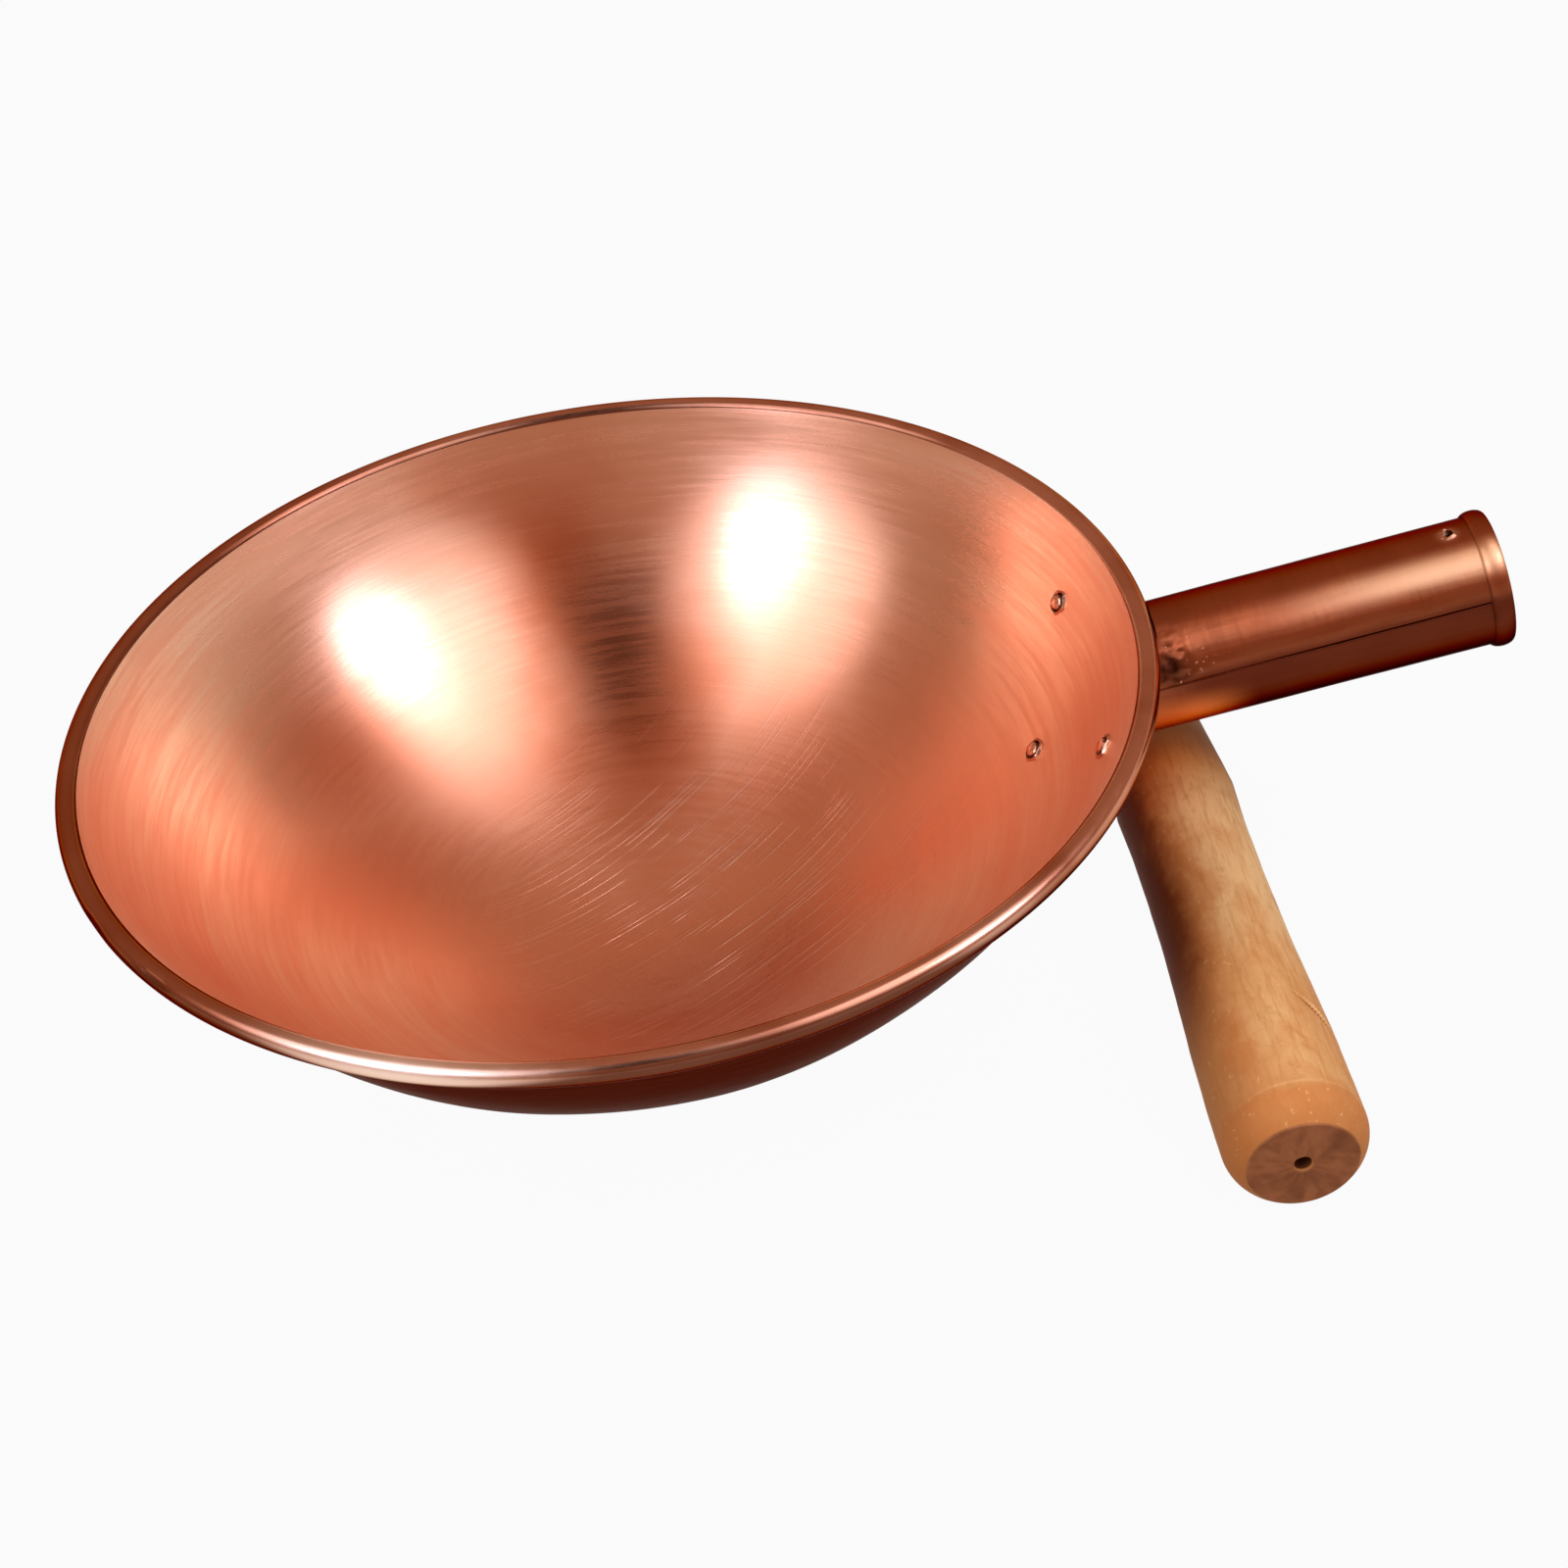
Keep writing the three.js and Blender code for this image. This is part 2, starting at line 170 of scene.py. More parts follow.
# Unevenness of the handle's side, which starts at the butt's edge, and a dent with a raised ridge
SIDE_FROM = -1
SIDE_TO = 2
TOOLED_DEPTH = 0.16
TOOLED_SIZE = 18
RASPED_DEPTH = 0.06
RASPED_SIZE = 6
DENT_FROM_BUTT = 43.5
DENT_ANGLE = -50
DENT_SLANT = 0.3
DENT_REACH = 19
DENT_DEPTH = 0.9
DENT_HALF = 0.8
RIDGE_HEIGHT = 0.36
RIDGE_FROM_DENT = 1.7
RIDGE_HALF = 0.9

# Camera: where it stands from the middle of the rim, and how it is turned
CAMERA_FROM_RIM = (86.42, -590.42, 424.59)
CAMERA_LENS = 54.0
CAMERA_SENSOR = 36
CAMERA_TURN = 3.708
CAMERA_DOWN = 38.793
CAMERA_ROLL = -11.48

# Floor, in metres, with the number of its sides and the share of white that shows
FLOOR_RADIUS = 3
FLOOR_WALL = 0.6
FLOOR_SEGMENTS = 96
FLOOR_BELOW = 0.0003
FLOOR_WHITE = 0.95

# Room: its light, and the way to its dark part
ROOM_COLOUR = (1, 0.64, 0.47, 1)
ROOM_LEVEL = 0.45
DARK_LEVEL = 0.02
DARK_WAY = (0, -0.454, 0.891)
DARK_EDGE = 28

# Lamps, with their distances and sizes in metres
SOFT_WHITE = (0.93, 1.03, 1.22)
COOL_WHITE = (0.82, 0.97, 1.43)
SOFTBOX = {"elevation": 50, "distance": 1.3, "size": 1.22, "radiance": 1.1, "colour": SOFT_WHITE}
GLOW = {"elevation": 50, "distance": 1.28, "size": 0.85, "radiance": 0.65, "colour": SOFT_WHITE}
FAN = {"elevation": 59, "distance": 1.28, "size": 0.45, "radiance": 0.8, "colour": SOFT_WHITE}
BULB = {"distance": 1.25, "size": 0.42, "radiance": 5.4, "colour": COOL_WHITE}

# Fineness of the meshes
BOWL_SEGMENTS = 400
INSIDE_STEPS = 100
WALL_STEPS = 4
BEAD_STEPS = 40
TUCK_STEPS = 16
OUTSIDE_STEPS = 50
SOCKET_STEP = 2
SEAM_ZONE = 2
SEAM_FINE_STEP = 0.5
NAIL_ZONE = 9
NAIL_FINE_STEP = 0.75
WRINKLE_ZONE = (-72, -20)
WRINKLE_FINE_STEP = 1.25
SOCKET_ROWS = 46
WRINKLE_ROWS = 36
WRINKLE_SHARE = (0.01, 0.22)
NAIL_ROWS = 22
NAIL_SHARE = (0.89, 0.985)
HEM_STEPS = 22
ROOT_STEPS = 7
BACK_POINTS = 8
BORE_STEPS = 14
HANDLE_SEGMENTS = 144
HOLE_STEPS = 4
BUTT_STEPS = 10
ROUNDING_STEPS = 14
SWELL_STEPS = 130
NECK_STEPS = 22
PLUG_STEPS = 24
RIVET_SEGMENTS = 35
HEAD_STEPS = 9
DRILL_SEGMENTS = 28
SHARP_EDGE = 38

# Points closer than this are joined, in metres
MERGE_DISTANCE = 1e-6

# Search along the socket for where it meets the rim
STOP_NEAR = -30
STOP_FAR = 15
STOP_STEPS = 900

# How far the bead, the hem and the spot that the bowl stands on lie inside the solids
INSET = 0.05
STANDING_INSET = 0.17

# Marks that run round the bowl: how fine to a metre up the wall, and how short to a radian round it
SPIN_FINE = (2000, 8)
SPIN_MEDIUM = (1500, 3)
SPIN_BRUSHED = (620, 3.5)
SPIN_BROAD = (90, 1.2)
BEAD_MARKS = (900, 20)
OUTSIDE_MARKS = (900, 8)

# Stains and specks: how fine to a metre
INSIDE_CLOUD = 16
INSIDE_PITS = 50
SCOUR_WAVE = 9
SCOUR_PATCHES = 34
BEAD_STAIN = 30
OUTSIDE_STAIN = 18
TUBE_STAIN = 45
TUBE_SPECKS = 620
RIVET_DINTS = 900
WIRE_GRAIN = 700
WOOD_MOTTLE = 150
END_BLOTCH = 75

# Scouring strokes over the bottom: how short and how fine to a metre, and how far they bend
SCOUR_ANGLE = 35.5
SCOUR_MIDDLE = (30, 5, -108)
SCOUR_REACH = 112
SCOUR_LENGTH = 15
SCOUR_FINENESS = 900
SCOUR_BEND = 12

# Tints inside the bowl: stretches from where a tint starts to where it is full
# Painted light: paler copper on the near and side walls above the bottom, as if lit more brightly
PAINTED_LIGHT_DEPTH = (100, 20)
PAINTED_LIGHT_HEIGHT = (-105, -85)
# Redder, deeper copper towards the bottom and in a spot on the far wall
REDDER_HEIGHT = (-50, -95)
REDDER_DEPTH = (-45, 5)
REDDER_WAVER = 30
REDDER_BACK = (0, 132, -44)
REDDER_BACK_REACH = 62
SMOOTHER_HEIGHT = (-100, -30)

# Painted shade: a dark band up the far wall, where the copper reflects the dark side of the room, whose
# middle bends to the left near the top, and dark spots of painted shade with strengths
BAND_LOW = -4
BAND_HIGH = -32
BAND_BEND = (100, 150)
BAND_WAVER = 12
BAND_HALF = (48, 4)
BAND_DEPTH = (30, 90)
BAND_TOP = (160, 135)
DARK_REFLECTION_REACH = 48
DARK_REFLECTION_SPOTS = {
    (-102, 62, -60): 0.85,
    (-86, 27, -84): 0.42,
    (52, 58, -91): 0.4,
    (98, 62, -62): 0.35,
    (150, -4, -28): 0.3,
}

# Bead: painted highlights where the lamps shine on it, painted shade below its top, where that starts lower,
# and painted shade on its darker left side
BEAD_HIGHLIGHT_LEFT = (-54, -159, 2.5)
BEAD_HIGHLIGHT_LEFT_REACH = 60
BEAD_HIGHLIGHT_RIGHT = (103, -134, 2.5)
BEAD_HIGHLIGHT_RIGHT_REACH = 30
BEAD_UNDER = (3.4, 1)
BEAD_HIGHLIGHT_LOWER = 4
BEAD_RIGHT = (80, 150)
BEAD_RIGHT_LOWER = 2
BEAD_LEFT = (-60, -120)

# Outside of the bowl, with painted shade darkening it towards the bottom
UNDERSIDE_SHADE_HEIGHT = (0, -60)
UNDERSIDE_SHADE_WAVER = 40

# Marks on the socket: how fine to a metre across it and along it
TUBE_DRAWN = (900, 900, 40)
TUBE_RUBBED = (90, 90, 700)

# Tints of the socket: angles from its top and stretches along it, each from its start to where it is full
# Painted shade on the socket's top, beside its seam and on its lower side
UPPER_TURN = (-31.5, -2.9)
BY_SEAM_FROM = (-45.8, -63)
BY_SEAM_TO = (-91.7, -74.5)
LOWER_TURN = (-SEAM_ANGLE - 14.3, -SEAM_ANGLE)
LOWER_STRETCH = (-10, 20)
# Painted highlight along the socket towards the mouth
HIGHLIGHT_TURN = -34.4
HIGHLIGHT_HALF = (22.9, 2.9)
HIGHLIGHT_STRETCH = (30, 95)
# Painted shade towards the root
ROOT_SHADE_STRETCH = (60, 5)
ROOT_STRETCH = (30, 4)
ROOT_FROM = (-11.5, -34.4)
ROOT_TO = (-85.9, -68.8)
# Dark spot on the root's crumple
ROOT_DARK_SPOT = (-17.5, 10, 9)
ROOT_DARK_REACH = 8
# Painted reflection of the wooden handle on the root's underside
WOOD_REFLECTION_TURN = (80.2, 114.6)
WOOD_REFLECTION_STRETCH = (34, 10)
ON_TUBE = (SOCKET_RADIUS + 2.4, SOCKET_RADIUS + 0.8)
NAIL_BRIGHT_REACH = 5

# Tarnish in the moat round a rivet's hammered end
MOAT_FROM = (1.9, 2.5)
MOAT_TO = (3.5, 3)
MOAT_INSIDE = (0, -1)

# Figure of the wood: how fine to a metre across it and along it, and the rays of the end grain
WOOD_GRAIN = (220, 220, 8)
WOOD_PATCHES = (70, 70, 45)
WOOD_PORES = (1500, 1500, 120)
WOOD_FIBRE = (650, 650, 70)
WOOD_CLOUD = (34, 34, 18)
WOOD_SPECKS = (800, 800, 500)
RAYS_TO_DEGREE = 0.05236
RAYS_TO_METRE = 130

# Tints of the wood: stretches from where a tint starts to where it is full, and smudges
# Painted light: the middle of the handle is paler
PAINTED_LIGHT_FROM = (45, 100)
PAINTED_LIGHT_TO = (172, 150)
SMUDGES = ((12.5, 17, 29), (12.8, 16.5, 38), (13, 16, 46), (-6, 20, 30))
SMUDGE_REACH = 9
ROUNDING_LENGTH = (25, 18.5)
ROUNDING_WAVER = 18
RING_FROM_BUTT = 12
RING_HALF = 0.9
MOTTLE_WAVER = 6
PATCH_WAVER = 12
# Painted shade along the handle's left side
SHADE_EDGE_SIDE = (8, 20)
SHADE_EDGE_LENGTH = (20, 80)
SHADED_SIDE = (16, 26)
SHADED_LENGTH = (30, 90)
# Painted shade on the wood next to the socket
PLUG_SHADE = (GRIP_LENGTH - 6, GRIP_LENGTH + 20)
# Painted shade in the dent's groove and painted highlight on its crest
DENT_PLACE = (-16, 13.3, DENT_FROM_BUTT)
DENT_TINT_REACH = 11.4
GROOVE_TINT = (0.8, 0.2)
CREST_FROM_DENT = 1.4
CREST_TINT = (0.7, 0.1)
END_DEPTH = (0.2, 0.6)
# Painted shade inside the butt's hole
HOLE_FROM = (0.3, 1.2)
HOLE_TO = (60, 50)

# Colours
COPPER = (0.87, 0.47, 0.31)
DEEP_COPPER = (0.84, 0.38, 0.23)
REDDER_COPPER = (0.88, 0.35, 0.2)
BAND_SHADE_COPPER = (0.62, 0.14, 0.05)
PAINTED_LIGHT_SIDES = (0.9, 0.73, 0.51)
PALE_COPPER = (0.97, 0.72, 0.58)
BEAD_HIGHLIGHT_COPPER = (1, 0.73, 0.58)
SOCKET_HIGHLIGHT = (0.95, 0.54, 0.28)
POLISHED_COPPER = (0.64, 0.27, 0.165)
POLISHED_SHADE = (0.48, 0.17, 0.095)
SOCKET_COPPER = (0.55, 0.145, 0.056)
SOCKET_SHADE = (0.36, 0.08, 0.029)
WOOD_REFLECTION_ORANGE = (0.95, 0.27, 0.085)
SHADED_COPPER = (0.36, 0.092, 0.036)
EDGE_TINT = (0.32, 0.16, 0.1)
SOCKET_EDGE = (0.18, 0.08, 0.05)
SOCKET_UNDER_SHADE = (0.13, 0.024, 0.01)
TARNISH = (0.12, 0.031, 0.016)
OUTSIDE_BROWN = (0.125, 0.052, 0.032)
OUTSIDE_SHADE = (0.058, 0.023, 0.014)
ROOT_DARK_COPPER = (0.05, 0.014, 0.008)
STEEL = (0.4, 0.38, 0.36)
HONEY = (0.84, 0.415, 0.135)
HONEY_DARK = (0.6, 0.22, 0.05)
HONEY_PALE = (0.96, 0.58, 0.23)
PALE_WOOD_AND_PAINTED_LIGHT = (1, 0.63, 0.26)
SHADE_BROWN = (0.26, 0.045, 0.007)
ROUND_ORANGE = (0.7, 0.24, 0.058)
PLUG_SHADE_BROWN = (0.22, 0.085, 0.032)
END_GRAIN = (0.52, 0.19, 0.07)
END_GRAIN_DARK = (0.18, 0.054, 0.019)
WHITE = (1, 1, 1, 1)
FLOOR_GREY = (0.35, 0.35, 0.35, 1)

# Sizes that follow from those above
slope = math.radians(WALL_SLOPE)
wire_space = ROLL_RADIUS - BOWL_SHEET
cap_reach = RIM_RADIUS * math.sin(slope) - BOWL_DEPTH * math.cos(slope) - wire_space
bowl_radius = cap_reach / (1 - math.cos(slope))
bowl_centre = np.array([0, 0, bowl_radius - BOWL_DEPTH])
bore_radius = SOCKET_RADIUS - SOCKET_SHEET
nail_place = (0, SOCKET_RADIUS, SOCKET_REACH - NAIL_FROM_MOUTH)

# The socket's axis in the wok: where it passes the rim, its way, its upper side and its far side
socket_rise = math.radians(SOCKET_RISE)
socket_start = np.array([RIM_RADIUS, 0, -SOCKET_DROP])
socket_along = np.array([math.cos(socket_rise), 0, math.sin(socket_rise)])
socket_up = np.array([-math.sin(socket_rise), 0, math.cos(socket_rise)])
socket_far = np.array([0, 1, 0])


# Places in the frame
def node_points(node):
    return np.array([vertex.co for vertex in frame["nodes"][node].data.vertices])


def place(origin, across, up, along):
    matrix = Matrix.Identity(4)
    for column, axis in enumerate((across, up, along)):
        matrix.col[column][:3] = axis
    matrix.translation = origin
    return matrix


def wok_place():
    """Middle of the rim, with +Z along the bowl's axis and +X towards the socket."""
    wire = node_points("rim_wire")
    middle = wire.mean(0)
    axis = Vector(np.linalg.svd(wire - middle, full_matrices=False)[2][2])
    axis = axis if axis.z > 0 else -axis
    far = Vector((0, 1, 0))
    return place(Vector(middle), far.cross(axis).normalized(), far, axis)


def handle_place():
    """Middle of the butt, with +Z along the handle and +Y on its upper side."""
    mount = next(m for m in frame["record"]["mounts"] if m["name"] == "butt_face")
    along = -Vector(mount["axis"]).normalized()
    points = node_points("wooden_handle")
    middle = Vector(points.mean(0))
    butt = min((Vector(point) - middle).dot(along) for point in points)
    across = along.cross(Vector((0, 0, -1))).normalized()
    return place(middle + along * butt, across, along.cross(across), along)


wok = wok_place()
handle = handle_place()
socket = wok @ place(Vector(socket_start) * MM, socket_far, socket_up, socket_along)


# Outlines and fields of points
def arc(centre, radius, start, end, steps):
    angles = np.radians(np.linspace(start, end, steps + 1))
    return np.array(centre) + np.stack([np.cos(angles), np.sin(angles)], 1) * np.array(radius)


def bezier(a, b, c, d, steps):
    t = np.linspace(0, 1, steps + 1)[:, None]
    a, b, c, d = (np.array(point, float) for point in (a, b, c, d))
    return a * (1 - t) ** 3 + 3 * b * t * (1 - t) ** 2 + 3 * c * t * t * (1 - t) + d * t ** 3


def line(a, b, steps):
    return np.linspace(a, b, steps + 1)


def whole_turn(segments):
    return np.arange(segments) * 360 / segments


def turned(outline, angles):
    """Outline of radius and height turned about +Z: points by angle, then by outline point."""
    turn = np.radians(angles)[:, None]
    radius, height = outline[None, :, 0], outline[None, :, 1]
    return np.stack([radius * np.cos(turn), radius * np.sin(turn), height + 0 * turn], 2)


def uneven(points, size):
    """Smooth noise from about -1 to 1 at points, with swells of about a size."""
    flat = points.reshape(-1, 3) / size
    return np.array([noise.noise(point) for point in flat]).reshape(points.shape[:-1])


def hump(value, middle, width):
    return np.exp(-((value - middle) / width) ** 2)


def smooth_step(low, high, value):
    t = np.clip((value - low) / (high - low), 0, 1)
    return t * t * (3 - 2 * t)


# Pieces
def add_object(name, data):
    thing = bpy.data.objects.new(name, data)
    bpy.context.scene.collection.objects.link(thing)
    return thing


def add_piece(name, grid, where, node, materials, material_of=None, close_outline=False):
    """Smooth piece from a grid that closes round its first axis. It stands for a CAD node."""
    around, along = grid.shape[:2]
    mesh = bmesh.new()
    rows = [[mesh.verts.new(point) for point in row] for row in grid * MM]
    for i in range(around):
        here, there = rows[i], rows[(i + 1) % around]
        for j in range(along if close_outline else along - 1):
            k = (j + 1) % along
            face = mesh.faces.new((here[j], there[j], there[k], here[k]))
            face.smooth = True
            face.material_index = material_of(j) if material_of else 0
    bmesh.ops.remove_doubles(mesh, verts=mesh.verts, dist=MERGE_DISTANCE)
    bmesh.ops.recalc_face_normals(mesh, faces=mesh.faces)
    mesh.transform(where)
    data = bpy.data.meshes.new(name)
    mesh.to_mesh(data)
    mesh.free()
    data.set_sharp_from_angle(angle=math.radians(SHARP_EDGE))
    for material in materials:
        data.materials.append(material)
    piece = add_object(name, data)
    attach(piece, next(b for b, nodes in frame["record"]["behaviour"]["bodies"].items() if node in nodes))
    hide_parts(node)
    return piece


def drill(piece, where, origin, direction, radius, length):
    """Round hole through a piece, at a place in its own millimetres."""
    mesh = bmesh.new()
    bmesh.ops.create_cone(mesh, cap_ends=True, segments=DRILL_SEGMENTS, radius1=radius * MM,
                          radius2=radius * MM, depth=length * MM)
    turn = Vector(direction).to_track_quat("Z", "Y").to_matrix().to_4x4()
    mesh.transform(where @ Matrix.Translation(Vector(origin) * MM) @ turn)
    data = bpy.data.meshes.new("drill")
    mesh.to_mesh(data)
    mesh.free()
    cutter = add_object("drill", data)
    cut = piece.modifiers.new("hole", "BOOLEAN")
    cut.operation = "DIFFERENCE"
    cut.object = cutter
    evaluated = piece.evaluated_get(bpy.context.evaluated_depsgraph_get())
    drilled = bpy.data.meshes.new_from_object(evaluated)
    piece.modifiers.clear()
    piece.data = drilled
    drilled.set_sharp_from_angle(angle=math.radians(SHARP_EDGE))
    bpy.data.objects.remove(cutter)


# Materials
class Shader:
    """One material's nodes, with short calls for those that the materials here share."""

    def __init__(self, name, where, colour=None):
        self.colour = colour
        self.material = bpy.data.materials.new(name)
        self.material.use_nodes = True
        self.tree = self.material.node_tree
        self.surface = self.tree.nodes["Principled BSDF"]
        inputs = {"Vector": self.add("TexCoord").outputs["Object"], "Location": where.translation,
                  "Rotation": where.to_euler()}
        self.place = self.add("Mapping", inputs, vector_type="TEXTURE").outputs[0]
        self.x, self.y, self.z = self.add("SeparateXYZ", {0: self.place}).outputs

    def add(self, kind, inputs=None, **settings):
        node = self.tree.nodes.new("ShaderNode" + kind)
        for name, value in settings.items():
            setattr(node, name, value)
        for name, value in (inputs or {}).items():
            self.feed(node.inputs[name], value)
        return node

    def feed(self, target, value):
        if isinstance(value, bpy.types.NodeSocket):
            self.tree.links.new(value, target)
        else:
            target.default_value = value

    def math(self, operation, a, b=0.0):
        return self.add("Math", {0: a, 1: b}, operation=operation).outputs[0]

    def plus(self, *terms):
        total = terms[0]
        for term in terms[1:]:
            total = self.math("ADD", total, term)
        return total

    def times(self, *factors):
        product = factors[0]
        for factor in factors[1:]:
            product = self.math("MULTIPLY", product, factor)
        return product

    def most(self, a, b):
        return self.math("MAXIMUM", a, b)

    def apart(self, a, b=0.0):
        return self.math("ABSOLUTE", self.math("SUBTRACT", a, b))

    def radius(self):
        """Distance from the piece's own axis, in metres."""
        return self.math("SQRT", self.plus(self.times(self.x, self.x), self.times(self.y, self.y)))

    def turn(self):
        """Degrees round the piece's own axis, from +Y towards +X."""
        return self.times(self.math("ARCTAN2", self.x, self.y), math.degrees(1))

    def vector(self, operation, a, b=(0, 0, 0)):
        return self.add("VectorMath", {0: a, 1: b}, operation=operation).outputs[0]

    def stretch(self, scales):
        return self.vector("MULTIPLY", self.place, scales)

    def join(self, x=0.0, y=0.0, z=0.0):
        return self.add("CombineXYZ", {0: x, 1: y, 2: z}).outputs[0]

    def noise(self, vector, scale=1.0, detail=2.0, roughness=0.5, distortion=0.0):
        inputs = {"Vector": vector, "Scale": scale, "Detail": detail, "Roughness": roughness,
                  "Distortion": distortion}
        return self.add("TexNoise", inputs).outputs["Fac"]

    def cells(self, vector, scale):
        return self.add("TexVoronoi", {"Vector": vector, "Scale": scale}).outputs["Distance"]

    def span(self, value, low, high, to_low=0.0, to_high=1.0):
        """Smooth ramp of a value between two limits."""
        inputs = {"Value": value, "From Min": low, "From Max": high, "To Min": to_low, "To Max": to_high}
        return self.add("MapRange", inputs, interpolation_type="SMOOTHSTEP").outputs["Result"]

    def reach(self, value, stretch, to_low=0.0, to_high=1.0):
        """Smooth ramp of a distance over a stretch in millimetres."""
        return self.span(value, stretch[0] * MM, stretch[1] * MM, to_low, to_high)

    def near(self, origin, radius):
        """1 at a place in the piece's millimetres, falling to 0 at a distance."""
        spot = self.vector("SUBTRACT", self.place, tuple(np.array(origin) * MM))
        distance = self.add("VectorMath", {0: spot}, operation="LENGTH").outputs["Value"]
        return self.reach(distance, (radius, 0))

    def mix(self, factor, a, b):
        node = self.add("Mix", data_type="RGBA")
        for index, value in ((0, factor), (6, a), (7, b)):
            self.feed(node.inputs[index], (*value, 1) if isinstance(value, tuple) else value)
        return node.outputs[2]

    def tint(self, colour, mask):
        """Lays a colour over the material's colour as far as a mask says."""
        self.colour = self.mix(mask, self.colour, colour)

    def bump(self, height, depth):
        return self.add("Bump", {"Height": height, "Distance": depth * MM}).outputs["Normal"]

    def finish(self, **inputs):
        self.feed(self.surface.inputs["Base Color"], self.colour)
        for name, value in inputs.items():
            name = name.replace("_", " ").title().replace("Ior", "IOR")
            value = (*value, 1) if isinstance(value, tuple) else value
            self.feed(self.surface.inputs[name], value)
        return self.material


def around_bowl(shader, marks):
    """Coordinates for marks that run round the bowl."""
    fineness, shortness = marks
    ring = shader.vector("NORMALIZE", shader.join(shader.x, shader.y))
    drop = shader.math("SUBTRACT", bowl_centre[2] * MM, shader.z)
    polar = shader.math("ARCCOSINE", shader.math("DIVIDE", drop, bowl_radius * MM))
    up_wall = shader.times(polar, bowl_radius * MM * fineness)
    return shader.vector("ADD", shader.vector("MULTIPLY", ring, (shortness,) * 3), shader.join(z=up_wall))


def scour_marks(shader):
    """Long scratches of straight scouring strokes over the bottom, in patches; their pale tint is a painted
    highlight where they catch the lamps.
    """
    turn = math.radians(SCOUR_ANGLE)
    along = shader.plus(shader.times(shader.x, math.cos(turn)), shader.times(shader.y, math.sin(turn)))
    across = shader.plus(shader.times(shader.y, math.cos(turn)), shader.times(shader.x, -math.sin(turn)))
    across = shader.plus(across, shader.times(shader.noise(shader.place, SCOUR_WAVE, 1), SCOUR_BEND * MM))
    strokes = shader.join(shader.times(along, SCOUR_LENGTH), shader.times(across, SCOUR_FINENESS))
    lines = shader.span(shader.noise(strokes, detail=1), 0.56, 0.66)
    patches = shader.span(shader.noise(shader.place, SCOUR_PATCHES), 0.34, 0.54)
    return shader.times(lines, patches, shader.near(SCOUR_MIDDLE, SCOUR_REACH))


def dark_reflection_marks(shader, cloud):
    """Painted shade: a dark band up the far wall, and dark spots, where the copper reflects dark parts of the
    room.
    """
    middle = shader.reach(shader.y, BAND_BEND, BAND_LOW * MM, BAND_HIGH * MM)
    waver = shader.span(cloud, 0.3, 0.7, -BAND_WAVER * MM, BAND_WAVER * MM)
    from_band = shader.apart(shader.plus(shader.x, waver), middle)
    shade = shader.times(shader.reach(from_band, BAND_HALF), shader.reach(shader.y, BAND_DEPTH))
    shade = shader.times(shade, shader.reach(shader.y, BAND_TOP, 0.35, 1))
    for spot, share in DARK_REFLECTION_SPOTS.items():
        shade = shader.most(shade, shader.times(shader.near(spot, DARK_REFLECTION_REACH), share))
    return shade


def copper_inside():
    shader = Shader("copper_inside", wok, COPPER)
    fine = shader.noise(around_bowl(shader, SPIN_FINE))
    medium = shader.noise(around_bowl(shader, SPIN_MEDIUM))
    brushed = shader.noise(around_bowl(shader, SPIN_BRUSHED), detail=4, roughness=0.65)
    broad = shader.noise(around_bowl(shader, SPIN_BROAD))
    cloud = shader.noise(shader.place, INSIDE_CLOUD, 3)
    scour = scour_marks(shader)
    pits = shader.span(shader.cells(shader.place, INSIDE_PITS), 0.028, 0.014)
    pits = shader.times(pits, shader.span(cloud, 0.52, 0.56))
    painted_light_sides = shader.times(shader.reach(shader.y, PAINTED_LIGHT_DEPTH), shader.reach(shader.z, PAINTED_LIGHT_HEIGHT))
    height = shader.plus(shader.z, shader.times(cloud, -REDDER_WAVER * MM))
    bottom = shader.times(shader.reach(height, REDDER_HEIGHT), shader.reach(shader.y, REDDER_DEPTH))
    redder = shader.most(bottom, shader.near(REDDER_BACK, REDDER_BACK_REACH))
    # Painted light: paler copper on the near and side walls
    shader.tint(PAINTED_LIGHT_SIDES, shader.times(painted_light_sides, 0.85))
    # Redder, deeper copper towards the bottom and in a spot on the far wall
    shader.tint(REDDER_COPPER, redder)
    shader.tint(DEEP_COPPER, shader.span(broad, 0.25, 0.75, 0, 0.45))
    shader.tint(DEEP_COPPER, shader.span(brushed, 0.35, 0.65, 0, 0.4))
    # Painted shade: the dark band and spots darken the copper
    shader.tint(BAND_SHADE_COPPER, shader.times(dark_reflection_marks(shader, cloud), 0.85))
    # Real scour scratches, tinted pale as a painted highlight of their glints
    shader.tint(PALE_COPPER, shader.times(scour, 0.5))
    shader.tint(TARNISH, shader.times(pits, 0.7))
    grain = shader.plus(shader.times(fine, 0.25), shader.times(medium, 0.4), shader.times(brushed, 0.9))
    grain = shader.plus(grain, shader.times(scour, 6))
    roughness = shader.plus(shader.reach(shader.z, SMOOTHER_HEIGHT, 0.3, 0.25), shader.times(painted_light_sides, 0.12))
    roughness = shader.plus(roughness, shader.span(brushed, 0.3, 0.7, -0.035, 0.035))
    roughness = shader.plus(roughness, shader.span(cloud, 0.3, 0.7, -0.015, 0.015))
    tangent = shader.add("Tangent", direction_type="RADIAL", axis="Z").outputs[0]
    return shader.finish(metallic=1.0, roughness=roughness, anisotropic=0.5, anisotropic_rotation=0.25,
                         tangent=tangent, normal=shader.bump(grain, 0.015))


